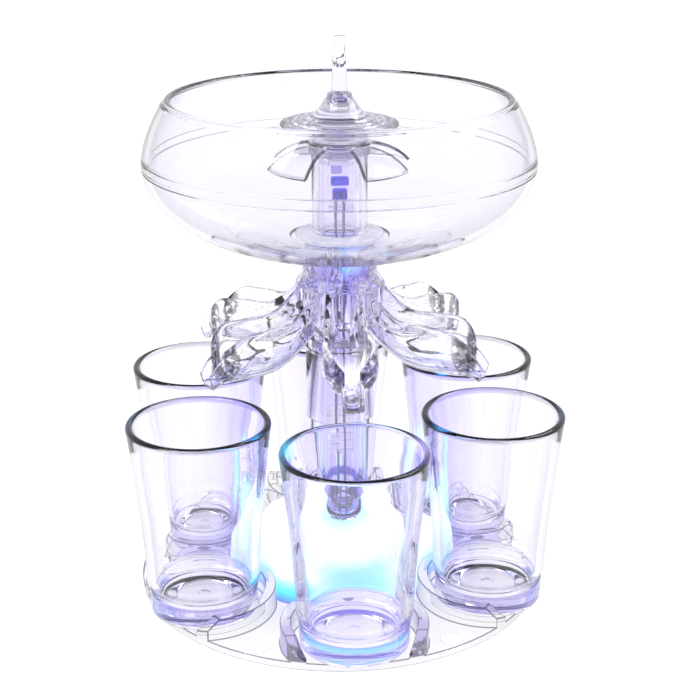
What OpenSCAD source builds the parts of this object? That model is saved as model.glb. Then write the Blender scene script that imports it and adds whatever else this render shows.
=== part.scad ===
// Light-up drink dispenser for small parties: a clear bowl on a lit column
// feeds six leaf-shaped troughs, which pour into six glasses on a round tray.
// Heights called "at" are measured above the underside of the tray.

/* [Tray] */
// Radius of the round tray
tray_r = 66.4; // [64:0.2:72]
// Thickness of the tray plate
plate_t = 2.5; // [2:0.1:4]
// Height that the rubber feet stand out below the tray
foot_proud = 1; // [0.6:0.1:3]
// Radius of one rubber foot
foot_r = 3.5; // [2:0.1:4]
// Radius of the circle of feet
foot_ring_r = 60; // [56:0.5:61]
// Radius of the circle on which the glasses stand
glass_ring_r = 52.7; // [52:0.1:54]
// Inner radius of a glass cradle
cradle_in_r = 19.4; // [18.5:0.1:19.8]
// Wall of a glass cradle
cradle_wall = 3.4; // [2:0.1:4]
// Height of a cradle wall above the plate
cradle_h = 7; // [4:0.1:9]
// Height of a cradle wall where its mouth is narrowest
cradle_lip_h = 1.6; // [0.8:0.1:2.5]
// Rise of the sloping cradle ends for each millimetre inwards
cradle_slope = 1.1; // [0.8:0.05:1.4]

/* [Glasses] */
// Number of glasses and troughs
glass_n = 6; // [6:1:6]
// Height of a glass
glass_h = 63.2; // [55:0.2:68]
// Outer radius of the rim
glass_rim_r = 22.5; // [21:0.1:23.5]
// Outer radius of the foot
glass_foot_r = 16.9; // [15.5:0.1:17.5]
// Wall at the rim
glass_wall = 2.6; // [1.8:0.1:3.2]
// Thickness of the solid bottom
glass_floor_t = 4.7; // [3:0.1:8]
// Radius of the flat in the middle of the floor
glass_flat_r = 8.75; // [6:0.25:10]
// Height of the moulded ring above the foot
glass_ring_h = 10.5; // [9:0.1:14]

/* [Light base] */
// Outer radius of the dome between the cradles
dome_r = 34.5; // [34.5:0.1:36]
// Wall of the dome
dome_wall = 1.7; // [1.2:0.1:1.8]
// Height of the upright dome wall above the plate
dome_side_h = 9.6; // [9.4:0.1:10]
// Gap between the dome and the cradles
dome_gap = 0.4; // [0.3:0.1:1]
// Radius of the dome's neck
neck_r = 7.4; // [7:0.1:8]
// Height at which the neck ends
neck_at = 19.2; // [19:0.1:21]
// Diameter of one battery cell
cell_d = 10.5; // [10:0.1:10.5]
// Length of one battery cell
cell_l = 44.5; // [43:0.1:44.5]
// Number of battery cells
cell_n = 3; // [3:1:3]
// Wall of the battery box
box_wall = 1.1; // [0.8:0.1:1.2]
// Clearance round the cells
cell_gap = 0.25; // [0.2:0.05:0.4]
// Radius of the round circuit board
board_r = 12; // [11:0.25:12.5]
// Thickness of the circuit boards
board_t = 1; // [0.8:0.1:1.2]
// Diameter of one light
led_d = 5; // [3:0.5:5]
// Radius of the push button under the tray
button_r = 3.4; // [2.5:0.1:3.6]
// Stroke of the push button
button_stroke = 1.2; // [0.6:0.1:1.5]

/* [Column] */
// Outer radius of the lower column tube
column_r = 9.6; // [9:0.1:10]
// Wall of the lower column tube
column_wall = 1.5; // [1:0.1:1.8]
// Height at which the column's rounded bottom starts
column_at = 25; // [24:0.5:27]
// Height of the top of the lower column tube
column_top_at = 79.6; // [76:0.2:80]
// Height at which the sleeve ends
sleeve_at = 56.3; // [50:0.1:62]
// Outer radius of the sleeve and of the hub's neck
sleeve_r = 11; // [10.9:0.1:11.4]
// Sliding clearance between pieces that lift off each other
lift_gap = 0.3; // [0.3:0.05:0.5]
// Outer radius of the inner light post
post_r = 6.6; // [6.2:0.1:6.8]
// Wall of the light post
post_wall = 1.1; // [0.8:0.1:1.4]
// Height of the top of the light post
post_top_at = 141.5; // [136:0.5:142]

/* [Hub and troughs] */
// Distance from the axis to a flat of the six-sided hub
hub_flat = 11.6; // [11.6:0.1:12.2]
// Radius of the rim of the skirt over the troughs
skirt_r = 13.6; // [13.2:0.1:14]
// Height of the rim of the skirt
skirt_at = 101.2; // [101.1:0.1:102]
// Height of the top of the hub
hub_top_at = 110.6; // [109:0.1:111]
// Radius at which a trough ends
trough_end_r = 45; // [42:0.2:46]
// Half width of a trough at its widest
trough_half_w = 8.7; // [7.5:0.1:9]
// Height of the rims of a trough away from the hub
trough_rim_at = 92.3; // [90:0.1:93]
// Rise of a trough's rims up to the hub
trough_rise = 8.4; // [6:0.1:8.6]
// Wall of a trough
trough_wall = 1.7; // [1.4:0.1:2]
// Thickness of the floor of a trough
trough_floor_t = 2.4; // [1.8:0.1:3]
// Height of the underside of a trough at its lowest
trough_keel_at = 76.2; // [75.5:0.1:78]
// Length of the pouring lip beyond the trough
nose_l = 3.4; // [2.5:0.1:4]
// Half width of the pouring lip
nose_half_w = 3.35; // [2.8:0.05:3.6]

/* [Bowl] */
// Largest outer radius of the bowl
bowl_r = 60.8; // [56:0.2:63]
// Height of the bowl's widest line
bowl_mid_at = 141; // [139:0.5:143]
// Height of the underside of the bowl
bowl_bottom_at = 111.6; // [111.6:0.1:113]
// Outer radius of the bowl's rim
bowl_rim_r = 53.3; // [50:0.1:56]
// Height of the bowl's rim
bowl_rim_at = 160; // [157:0.5:163]
// Wall of the bowl
bowl_wall = 2.1; // [1.8:0.1:2.6]
// Height of the lapped joint between the two bowl shells
bowl_lap_h = 3; // [2:0.1:4]
// Squareness of the lower half, where 2 is an ellipse
bowl_power = 2.15; // [2:0.05:2.4]
// Wall of the spigot under the bowl
spigot_wall = 1.2; // [0.9:0.1:1.4]
// Length of the spigot below the bowl
spigot_l = 9; // [6:0.5:11]

/* [Stopper] */
// Outer radius of the stopper tube
stopper_r = 8.7; // [8.5:0.1:9]
// Radius of the foot of the stopper
stopper_foot_r = 14.3; // [12:0.1:16]
// Thickness of the rubber seal under the foot
seal_t = 0.9; // [0.8:0.1:1.5]
// Height at which the stopper tube ends
stopper_top_at = 144.6; // [144:0.1:146]
// Radius of the edge of the petals
petal_r = 22; // [18:0.2:24]
// Drop of the petals from top to edge
petal_drop = 6.5; // [5:0.1:8]
// Thickness of the petals
petal_t = 0.9; // [0.7:0.1:1.2]
// Width of one petal as an angle
petal_angle = 42; // [30:1:60]
// Turn of the petals about the axis
petal_turn = -8; // [-20:1:20]
// Radius of the rippled disc
ripple_r = 18.4; // [16:0.2:20]
// Number of ripples on the disc
ripple_n = 4; // [3:1:5]
// Height of the ripples
ripple_h = 0.5; // [0.3:0.05:0.6]
// Height of the top of the spire
spire_top_at = 178; // [172:0.5:185]
// Radius of the spire at its foot
spire_r = 2.5; // [2.2:0.1:2.6]

/* [Hidden] */
SPOUTS = [for (i = [1:glass_n]) str("spout_", i)];
GLASSES = [for (i = [1:glass_n]) str("glass_", i)];
$fn = 96;
eps = 0.01;             // overlap that keeps a cut from leaving a skin
turn_step = 360 / glass_n;
cradle_out_r = cradle_in_r + cradle_wall;
cradle_mouth_x = cradle_in_r * cos(51.6);
glass_at = plate_t;
dome_cut_r = cradle_out_r + dome_gap;
dome_shelf_at = plate_t + dome_side_h;
// The bay that holds the cells
bay_w = cell_n * cell_d + 2 * cell_gap;
bay_l = cell_l + 2;
cover_t = 1.4;
fit_gap = 0.1;          // clearance between pieces that fit into each other and stay
bay_floor_at = cover_t + 0.2;
cell_axis_at = bay_floor_at + cell_d / 2;
bay_top_at = bay_floor_at + cell_d + cell_gap;
board_at = bay_top_at + box_wall;
screw_y = bay_l / 2 + box_wall + 3;
screw_boss_r = 2.2;
screw_r = 0.9;
switch_x = bay_w / 2 + box_wall + 6.5;
switch_top_at = plate_t + 7.2;
wire_hole_r = 3.6;
column_in_r = column_r - column_wall;
column_floor_t = 8.5;
post_at = column_at + 2;
post_in_r = post_r - post_wall;
sleeve_in_r = column_r + lift_gap;
cup_r = stopper_r + 0.7;                    // spigot's outer radius
hub_bore_r = cup_r + lift_gap;
hub_floor_at = column_top_at;
sump_at = hub_floor_at + 3.5;
sump_top_at = hub_top_at - spigot_l - 1;
port_w = 5.4;
port_h = 6.4;
skirt_rise = 5.4;                           // from the skirt's rim up to the hub's neck
rise_l = 15;                                // length over which a trough's rims rise to the hub
end_round_r = 36;                           // radius from which a trough's end is rounded
nose_wall = 1.1;
trough_steps = 14;
nose_steps = 3;
side_steps = 5;
seal_ring_r = 0.9;
bowl_floor_at = bowl_bottom_at + bowl_wall;
seat_r = stopper_foot_r + 1.2;
floor_rings = [24, 34];                     // radii of the fine beads on the bowl's floor
floor_bead_r = 0.5;
lap_gap = 0.05;
post_gap = 0.5;                             // between the post and what slides over it
led_foot_at = 126.3;                        // flange of the upper light
led_case_at = 124.2;                        // foot of its clear case
led_case_top_at = 139.1;                    // top of its clear case
wire_x = 1.27;                              // of each wire from the axis
stopper_at = bowl_floor_at + seal_t;
ripple_at = stopper_top_at + 5;
spire_at = ripple_at + 6;

// Puts what is drawn above the tray's underside onto the rubber feet
module on_feet() {
    translate([0, 0, foot_proud]) children();
}

// Places a child at glass number i, counted from the front
module at_glass(i) {
    rotate([0, 0, i * turn_step]) translate([0, -glass_ring_r, 0]) children();
}

// Upright tube between two heights
module tube(r_out, r_in, low, high) {
    translate([0, 0, low]) difference() {
        cylinder(r = r_out, h = high - low);
        translate([0, 0, -eps]) cylinder(r = r_in, h = high - low + 2 * eps);
    }
}

// Rectangular block centred in X and Y, standing on height z
module block(w, l, h, z) {
    translate([-w / 2, -l / 2, z]) cube([w, l, h]);
}

// ---- Tray ----------------------------------------------------------------

module cradle_walls() {
    reach = cradle_out_r + 1;
    intersection() {
        cylinder(r = tray_r, h = plate_t + cradle_h);
        for (i = [0:glass_n - 1]) at_glass(i) difference() {
            translate([0, 0, plate_t - eps]) cylinder(r = cradle_out_r, h = cradle_h + eps);
            cylinder(r = cradle_in_r, h = plate_t + cradle_h + 1);
            // The mouth faces outwards, and its ends slope down to a low lip
            translate([0, -cradle_mouth_x, plate_t + cradle_lip_h])
                rotate([atan(cradle_slope), 0, 0])
                    translate([-reach, -2 * reach, 0]) cube([2 * reach, 4 * reach, 2 * reach]);
        }
    }
}

// Tongue of the battery cover that reaches a screw
module cover_tab(side, gap) {
    w = 2 * (screw_boss_r + gap);
    translate([-w / 2, side * screw_y / 2 - screw_y / 2, -gap]) cube([w, screw_y, cover_t + 2 * gap]);
}

module base_tray() {
    button_hole_r = button_r + fit_gap;
    color([0.93, 0.93, 1, 0.35]) on_feet() difference() {
        union() {
            cylinder(r = tray_r, h = plate_t);
            cradle_walls();
        }
        block(bay_w + 2 * box_wall + 2 * fit_gap, bay_l + 2 * box_wall + 2 * fit_gap, plate_t + 2, -1);
        for (side = [-1, 1]) {
            translate([0, side * screw_y, -1]) cylinder(r = screw_boss_r + fit_gap, h = plate_t + 2);
            cover_tab(side, fit_gap);
        }
        translate([switch_x, 0, -1]) cylinder(r = button_hole_r, h = plate_t + 2);
        translate([switch_x, 0, plate_t - 1]) cylinder(r = button_r + 1.3, h = 2);
        for (i = [0:glass_n - 1]) rotate([0, 0, (i + 0.5) * turn_step])
            translate([0, -foot_ring_r, -1]) cylinder(r = foot_r, h = 1.8);
    }
}

module base_feet() {
    color([0.85, 0.85, 0.88]) on_feet()
        for (i = [0:glass_n - 1]) rotate([0, 0, (i + 0.5) * turn_step])
            translate([0, -foot_ring_r, -foot_proud]) {
                cylinder(r1 = foot_r - 0.4, r2 = foot_r, h = 0.4);
                translate([0, 0, 0.4]) cylinder(r = foot_r, h = foot_proud + 0.4);
            }
}

// ---- Light base ----------------------------------------------------------

// Outline of the dome from the shelf up to the neck, moved in by a wall
function dome_line(wall) = [
    [dome_r - wall, plate_t],
    [dome_r - wall, dome_shelf_at - 0.4 * wall],
    [dome_r - 1.4 - wall, dome_shelf_at + 1.6 - wall],
    [27.5 - 0.7 * wall, dome_shelf_at + 3.3 - wall],
    [20 - 0.7 * wall, dome_shelf_at + 5.1 - wall],
    [14 - 0.8 * wall, neck_at - 0.6 - 0.8 * wall],
    [10.4 - 0.9 * wall, neck_at + 1.6 - 0.8 * wall],
    [neck_r + 0.8 - wall, neck_at + 3.2 - wall]];

module dome_body(wall, top) {
    difference() {
        rotate_extrude() polygon(concat([[0, plate_t]], dome_line(wall), [[0, top]]));
        for (i = [0:glass_n - 1]) at_glass(i)
            cylinder(r = dome_cut_r + wall, h = 60);
    }
}

module light_dome() {
    color([0.75, 0.95, 1, 0.6]) on_feet() difference() {
        dome_body(0, neck_at + 3.2);
        translate([0, 0, -eps]) dome_body(dome_wall, neck_at + 3.2 - 2 * dome_wall);
        cylinder(r = wire_hole_r, h = 60);
        for (side = [-1, 1]) translate([0, side * screw_y, 0]) cylinder(r = screw_boss_r + fit_gap, h = 9);
    }
}

// Outline of the box across the cells: its roof follows their round tops
module bay_outline(grow) {
    half = bay_w / 2 + grow;
    translate([-half, cover_t - 2 * grow]) square([2 * half, cell_axis_at - cover_t + 2 * grow]);
    for (i = [0:cell_n - 1]) translate([(i - (cell_n - 1) / 2) * cell_d, cell_axis_at])
        circle(r = cell_d / 2 + cell_gap + grow);
}

module battery_box() {
    l = bay_l + 2 * box_wall;
    boss_h = 6.2;
    color([0.92, 0.92, 0.95]) on_feet() difference() {
        union() {
            intersection() {
                rotate([90, 0, 0]) translate([0, 0, -l / 2]) linear_extrude(l) bay_outline(box_wall);
                block(100, 100, 40, cover_t);
            }
            for (side = [-1, 1]) {
                translate([0, side * screw_y, cover_t]) cylinder(r = screw_boss_r, h = boss_h);
                translate([-1, side * (screw_y + l / 2) / 2 - (screw_y - l / 2 + 1) / 2, plate_t])
                    cube([2, screw_y - l / 2 + 1, boss_h + cover_t - plate_t]);
            }
        }
        rotate([90, 0, 0]) translate([0, 0, -bay_l / 2]) linear_extrude(bay_l) bay_outline(0);
        block(bay_w, bay_l, cell_axis_at, 0);
        for (side = [-1, 1]) translate([0, side * screw_y, 0]) cylinder(r = screw_r, h = 6.5);
        block(4, 3, 20, bay_top_at - 1);
    }
}

module cell() {
    rotate([-90, 0, 0]) {
        cylinder(d = cell_d, h = cell_l - 0.8);
        translate([0, 0, cell_l - 0.8 - eps]) cylinder(r = 1.9, h = 0.8 + eps);
    }
}

module battery_cells() {
    color([0.75, 0.76, 0.8]) on_feet()
        for (i = [0:cell_n - 1]) {
            flip = (i % 2 == 0) ? 0 : 180;
            translate([(i - (cell_n - 1) / 2) * cell_d, 0, cell_axis_at])
                rotate([0, 0, flip]) translate([0, -cell_l / 2, 0]) cell();
        }
}

// A flat plate at one end of each cell and a coil of three turns at the other
module battery_contacts() {
    plate = 0.4;
    gap = (bay_l - cell_l) / 2;
    color([0.8, 0.8, 0.78]) on_feet()
        for (i = [0:cell_n - 1]) {
            flip = (i % 2 == 0) ? 1 : -1;
            translate([(i - (cell_n - 1) / 2) * cell_d, 0, cell_axis_at]) {
                translate([-3.5, flip * (bay_l / 2 - plate / 2) - plate / 2, -3.5]) cube([7, plate, 7]);
                translate([-3.5, -flip * (bay_l / 2 - plate / 2) - plate / 2, -3.5]) cube([7, plate, 7]);
                rotate([flip * 90, 0, 0]) translate([0, 0, bay_l / 2 - gap]) cylinder(r1 = 2, r2 = 2.8, h = gap - plate);
            }
        }
}

module battery_cover() {
    color([0.95, 0.95, 0.97, 0.7]) on_feet() difference() {
        union() {
            block(bay_w + 2 * box_wall, bay_l + 2 * box_wall, cover_t, 0);
            for (side = [-1, 1]) {
                translate([0, side * screw_y, 0]) cylinder(r = screw_boss_r, h = cover_t);
                cover_tab(side, 0);
            }
        }
        for (side = [-1, 1]) translate([0, side * screw_y, -1]) cylinder(r = screw_r + 0.2, h = 4);
    }
}

module cover_screws() {
    color([0.7, 0.7, 0.72]) on_feet()
        for (side = [-1, 1]) translate([0, side * screw_y, -0.6]) difference() {
            union() {
                cylinder(r = 1.9, h = 0.6);
                translate([0, 0, 0.6 - eps]) cylinder(r = screw_r - 0.05, h = 6);
            }
            block(2.6, 0.5, 0.8, -0.5);
            block(0.5, 2.6, 0.8, -0.5);
        }
}

module led_board() {
    color([0.25, 0.55, 0.4]) on_feet() difference() {
        translate([0, 0, board_at]) cylinder(r = board_r, h = board_t);
        translate([0, 0, board_at - 1]) cylinder(r = wire_hole_r - 1.6, h = 4);
    }
}

module led(d, h) {
    cylinder(d = d + 0.6, h = 0.7);
    cylinder(d = d, h = h - d / 2);
    translate([0, 0, h - d / 2]) sphere(d = d);
}

module base_lights() {
    color([0.75, 0.97, 1, 0.8]) on_feet()
        for (i = [0:2]) rotate([0, 0, i * 120 + 30]) translate([0, -led_d - 1.5, board_at + board_t])
            scale(0.6) led(led_d, 5.6);
}

// Guide and contact block that stands over the push button
module switch_block() {
    color([0.2, 0.2, 0.22]) on_feet() difference() {
        translate([switch_x, 0, 0]) block(9.6, 11, switch_top_at - plate_t, plate_t);
        translate([switch_x, 0, 0]) cylinder(r = button_r + 1.2, h = switch_top_at - 2);
    }
}

module switch_button() {
    color([0.9, 0.9, 0.93]) on_feet() translate([switch_x, 0, 0]) {
        translate([0, 0, 0.3]) cylinder(r = button_r, h = plate_t - 1);
        translate([0, 0, plate_t - 1]) cylinder(r = button_r + 0.9, h = 0.8);
        stem_top_at = switch_top_at - 2 - button_stroke - 0.3;
        translate([0, 0, plate_t - 0.5]) cylinder(r = 1.5, h = stem_top_at - plate_t + 0.5);
    }
}

// ---- Column --------------------------------------------------------------

// Turned collar that joins the dome's neck to the column's rounded bottom
module column_collar() {
    low = neck_at + 3.2;
    color([0.85, 0.93, 1, 0.4]) on_feet() rotate_extrude() difference() {
        union() {
            translate([0, low]) square([neck_r - 0.6, column_at - low]);
            translate([0, low]) square([neck_r, 1.2]);
        }
        translate([0, low - 1]) square([wire_hole_r, 20]);
    }
}

module lower_column() {
    round_r = column_r - neck_r;
    color([0.93, 0.93, 1, 0.35]) on_feet() rotate_extrude() difference() {
        polygon(concat([[0, column_at], [neck_r, column_at]],
            [for (a = [0:15:90]) [neck_r + round_r * sin(a), column_at + 5.5 - 5.5 * cos(a)]],
            [[column_r, column_top_at], [0, column_top_at]]));
        translate([post_r + 0.05, column_at + column_floor_t])
            square([column_in_r - post_r - 0.05, column_top_at]);
        translate([0, post_at]) square([post_r + 0.05, column_top_at]);
        square([wire_hole_r, column_top_at]);
    }
}

module light_post() {
    top_t = 1.4;
    color([0.93, 0.93, 1, 0.3]) on_feet() rotate_extrude() difference() {
        polygon([[0, post_at], [post_r, post_at], [post_r, post_top_at - 1.5],
            [post_r - 1.5, post_top_at], [0, post_top_at]]);
        translate([0, post_at - 1]) square([post_in_r, post_top_at - post_at + 1 - top_t]);
    }
}

module post_light() {
    color([0.3, 0.3, 1, 0.8]) on_feet() translate([0, 0, led_foot_at]) led(led_d - 0.6, 8);
}

// Clear square case that centres the upper light in the post
module post_light_case() {
    side = 2 * post_in_r / sqrt(2) - 0.1;
    color([0.7, 0.7, 1, 0.4]) on_feet() difference() {
        block(side, side, led_case_top_at - led_case_at, led_case_at);
        translate([0, 0, led_foot_at]) cylinder(d = led_d + 0.2, h = 30);
        for (x = [-wire_x, wire_x]) translate([x, 0, led_case_at - 1]) cylinder(r = 0.6, h = 4);
    }
}

module post_wires() {
    color([0.75, 0.75, 0.8]) on_feet()
        for (x = [-wire_x, wire_x]) translate([x, 0, board_at + board_t])
            cylinder(r = 0.45, h = led_foot_at - board_at - board_t);
}

// Small upright driver board in the lower column, with its parts in front
module column_board() {
    low = 42;
    color([0.85, 0.88, 0.95]) on_feet() {
        translate([0, 1.1, 0]) block(2 * post_in_r * 0.86, board_t, 16, low);
        translate([-2.2, -1.2, low + 2]) block(3, 1.2, 5, 0);
    }
}

// ---- Hub and troughs -----------------------------------------------------

module hub_sleeve() {
    color([0.9, 0.9, 1, 0.35]) on_feet() tube(sleeve_r, sleeve_in_r, sleeve_at, hub_floor_at);
}

// Six-sided hub with a flared skirt above it and one port to each trough
module spout_hub() {
    color([0.8, 0.82, 1, 0.4]) on_feet() difference() {
        union() {
            translate([0, 0, hub_floor_at])
                cylinder(r = hub_flat / cos(30), h = skirt_at - hub_floor_at, $fn = 6);
            rotate_extrude() polygon(concat([[0, skirt_at - 0.3], [skirt_r - 0.4, skirt_at - 0.3]],
                [for (t = [0:0.2:0.8]) [sleeve_r + (skirt_r - sleeve_r) * pow(1 - t, 1.7),
                    skirt_at + skirt_rise * t]],
                [[sleeve_r, skirt_at + skirt_rise], [sleeve_r, hub_top_at], [0, hub_top_at]]));
        }
        translate([0, 0, sump_top_at]) cylinder(r = hub_bore_r, h = 40);
        translate([0, 0, sump_at]) cylinder(r = hub_bore_r - 0.8, h = 40);
        translate([0, 0, hub_floor_at - 1]) cylinder(r = post_r + post_gap, h = 40);
        translate([0, 0, sump_at - 2 * seal_ring_r - 0.1]) cylinder(r = post_r + lift_gap + 2 * seal_ring_r, h = 10);
        for (i = [0:glass_n - 1]) rotate([0, 0, i * turn_step])
            translate([-port_w / 2, -hub_flat - 5, sump_at + 1]) cube([port_w, hub_flat + 5, port_h]);
    }
}

module post_seal() {
    color([0.9, 0.9, 0.95, 0.7]) on_feet() translate([0, 0, sump_at - seal_ring_r - 0.1])
        rotate_extrude() translate([post_r + lift_gap + seal_ring_r, 0]) circle(r = seal_ring_r, $fn = 32);
}

// Along a trough, t runs from 0 at the hub to 1 at its end, and e from 0 to 1 over its rounded end
function trough_radius(t) = hub_flat + (trough_end_r - hub_flat) * t;
function end_share(r) = max(0, (r - end_round_r) / (trough_end_r - end_round_r));
function trough_keel(r) = let (u = max(0, 1 - (r - hub_flat) / 20))
    trough_keel_at + 9.6 * pow(u, 2.2) + 0.3;
function trough_top(r, t) = let (u = max(0, 1 - (r - hub_flat) / rise_l), e = end_share(r))
    trough_rim_at + trough_rise * pow(u, 1.9) - 6.5 * pow(e, 2.5) + 0.2 * sin(720 * t);
function trough_half(r, t) = let (e = end_share(r), w = trough_half_w - 3.5 * pow(1 - t, 1.6))
    nose_half_w + (w - nose_half_w) * sqrt(max(0, 1 - pow(e, 3)));
// Share of the half width at a share v of the depth: a rounded V that turns upright
function tulip(v) = 1 - pow(1 - min(1, v / 0.62), 1.4) - 0.04 * pow(max(0, (v - 0.62) / 0.38), 2);
// Right half of one surface of a trough: a small channel below, and the wide U above it
function half_section(keel, top, half, bed_w, bed_h) = concat(
    [[0, keel], [0.8 * bed_w, keel + 0.06 * bed_h], [bed_w, keel + 0.45 * bed_h]],
    [for (k = [0:side_steps]) let (v = k / side_steps)
        [bed_w + (half - bed_w) * tulip(v), keel + bed_h + (top - keel - bed_h) * pow(v, 1.25)]]);
// One cross-section of open trough: outside from left to right, then inside from right to left
function trough_ring(r, keel, top, half, wall, floor_t, bed_w, bed_h, lean) =
    let (outer = half_section(keel, top, half, bed_w, bed_h),
        inner = half_section(keel + floor_t, top, half - wall, min(bed_w, half) * 0.7, bed_h),
        last = len(outer) - 1)
    [for (p = concat([for (k = [last:-1:1]) [-outer[k][0], outer[k][1]]], outer,
        [for (k = [last:-1:1]) inner[k]], [for (k = [0:last]) [-inner[k][0], inner[k][1]]]))
        [p[0], -(r + lean * (p[1] - keel)), p[1]]];

// Skin over a row of equal cross-sections, closed at both ends of the row
module skin(rings) {
    m = len(rings[0]);
    n = len(rings);
    side_faces = [for (i = [0:n - 2]) for (k = [0:m - 1]) let (a = i * m + k, b = i * m + (k + 1) % m)
        each [[a, a + m, b], [b, a + m, b + m]]];
    half = m / 2;
    caps = [for (k = [0:half - 2]) let (p = k, q = k + 1, s = m - 1 - k, u = m - 2 - k)
        each [[p, q, s], [q, u, s],
            [p + (n - 1) * m, s + (n - 1) * m, q + (n - 1) * m],
            [q + (n - 1) * m, s + (n - 1) * m, u + (n - 1) * m]]];
    polyhedron(points = [for (ring = rings) each ring], faces = concat(side_faces, caps));
}

// The stations of the body lie closer together towards its rounded end
module spout(number) {
    body = [for (i = [0:trough_steps]) let (t = 1 - pow(1 - i / trough_steps, 1.6),
        r = trough_radius(t), e = end_share(r), half = trough_half(r, t),
        wall = trough_wall + 2.2 * pow(e, 2))
        trough_ring(r, trough_keel(r), trough_top(r, t), half, min(wall, half - nose_half_w + nose_wall),
            trough_floor_t + (1.2 - trough_floor_t) * e, 2.2 + (nose_half_w - 2.3) * t,
            0.3 + 3 * pow(t, 6), 0)];
    nose = [for (k = [0:nose_steps]) let (s = k / nose_steps, r = trough_end_r + 0.3 + (nose_l - 0.3) * s)
        trough_ring(r, trough_keel_at + 0.3 - 1.05 * s, trough_keel_at + 8.5 - 5.1 * s, nose_half_w,
            nose_wall, 1.2, nose_half_w - 0.1, 3.3 - 2 * s, 0.3 * s)];
    color([0.92, 0.92, 1, 0.35]) on_feet() rotate([0, 0, (number - 1) * turn_step])
        skin(concat(body, nose));
}

// ---- Bowl ----------------------------------------------------------------

// Lower outline of the bowl at a share s of its depth, moved in by a wall
function bowl_low(a, wall) = [
    (bowl_r - wall) * pow(cos(a), 2 / bowl_power),
    bowl_mid_at - (bowl_mid_at - bowl_bottom_at - wall) * pow(sin(a), 2 / bowl_power)];
function bowl_high(s, wall) = [
    bowl_r - wall - (bowl_r - bowl_rim_r) * pow(s, 1.55),
    bowl_mid_at + (bowl_rim_at - bowl_mid_at) * s];
// Height of the bowl's inner surface at a radius
function bowl_floor(r) = let (a = acos(pow(r / (bowl_r - bowl_wall), bowl_power / 2)))
    bowl_low(a, bowl_wall)[1];

module bowl_lower() {
    lap = bowl_wall / 2;
    split = bowl_mid_at - bowl_lap_h / 2;
    outside = [for (a = [85:-5:10]) bowl_low(a, 0)];
    inside = [for (a = [10:5:70]) bowl_low(a, bowl_wall)];
    color([0.95, 0.94, 1, 0.3]) on_feet() {
        rotate_extrude() difference() {
            polygon(concat([[0, bowl_bottom_at]], outside, [[bowl_r, split], [bowl_r - lap - lap_gap, split]],
                [[bowl_r - lap - lap_gap, split + bowl_lap_h - lap_gap],
                [bowl_r - bowl_wall, split + bowl_lap_h - lap_gap]], inside,
                [[seat_r + 0.4, bowl_floor(seat_r + 0.4)], [seat_r, bowl_floor_at], [0, bowl_floor_at]]));
            square([cup_r - spigot_wall, 200]);
        }
        tube(cup_r, cup_r - spigot_wall, bowl_bottom_at - spigot_l, bowl_bottom_at + 0.5);
        rotate_extrude() for (r = floor_rings) translate([r, bowl_floor(r)]) circle(r = floor_bead_r, $fn = 24);
    }
}

module bowl_upper() {
    lap = bowl_wall / 2;
    split = bowl_mid_at - bowl_lap_h / 2;
    rim = bowl_wall / 2;
    outside = [for (s = [0.1:0.1:0.9]) bowl_high(s, 0)];
    inside = [for (s = [0.9:-0.1:0.1]) bowl_high(s, bowl_wall)];
    round_rim = [for (a = [0:20:180]) [bowl_rim_r - rim + rim * cos(a), bowl_rim_at - rim + rim * sin(a)]];
    color([0.95, 0.94, 1, 0.3]) on_feet() rotate_extrude()
        polygon(concat([[bowl_r - lap, split + lap_gap], [bowl_r, split + lap_gap]], outside, round_rim, inside,
            [[bowl_r - bowl_wall, split + bowl_lap_h], [bowl_r - lap, split + bowl_lap_h]]));
}

module bowl_gasket() {
    color([0.6, 0.85, 1, 0.7]) on_feet() tube(sleeve_r - 0.3, cup_r + lift_gap, hub_top_at, bowl_bottom_at);
}

// ---- Stopper -------------------------------------------------------------

module stopper_tube() {
    in_r = post_r + post_gap;
    color([0.93, 0.93, 1, 0.35]) on_feet() rotate_extrude() polygon([
        [in_r, stopper_at], [stopper_foot_r - 0.4, stopper_at], [stopper_foot_r, stopper_at + 0.4],
        [stopper_foot_r - 0.3, stopper_at + 1], [stopper_r + 1.6, stopper_at + 1.8],
        [stopper_r + 0.4, stopper_at + 2.8], [stopper_r, stopper_at + 4.4],
        [stopper_r, stopper_top_at], [in_r, stopper_top_at]]);
}

module foot_seal() {
    color([0.88, 0.9, 0.95, 0.7]) on_feet()
        tube(stopper_foot_r - 0.9, post_r + post_gap + 0.4, bowl_floor_at, stopper_at);
}

// Four thin petals that hang from a ring like an opened umbrella
module petal_cap() {
    // Radius of the arc through the ring and the petals' edge
    run = petal_r - stopper_r - 0.3;
    arc_r = (run * run + petal_drop * petal_drop) / (2 * petal_drop);
    sweep = asin(run / arc_r);
    centre_at = stopper_top_at + 0.4 - arc_r;
    ring_r = stopper_r + 0.3;
    top_line = [for (k = [0:6]) let (a = sweep * k / 6) [ring_r + arc_r * sin(a), centre_at + arc_r * cos(a)]];
    low_line = [for (k = [6:-1:0]) let (a = sweep * k / 6)
        [ring_r + (arc_r - petal_t) * sin(a), centre_at + (arc_r - petal_t) * cos(a)]];
    color([0.93, 0.93, 1, 0.35]) on_feet() {
        intersection() {
            rotate_extrude() polygon(concat(top_line, low_line));
            rotate([0, 0, petal_turn]) for (k = [0:3]) rotate([0, 0, 45 + 90 * k]) linear_extrude(300)
                polygon([[0, 0], [60, -60 * tan(petal_angle / 2)], [60, 60 * tan(petal_angle / 2)]]);
        }
        tube(stopper_r + 0.9, stopper_r, stopper_top_at - 2.5, stopper_top_at);
        tube(stopper_r + 0.9, post_r - 2, stopper_top_at, stopper_top_at + 1);
    }
}

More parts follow.
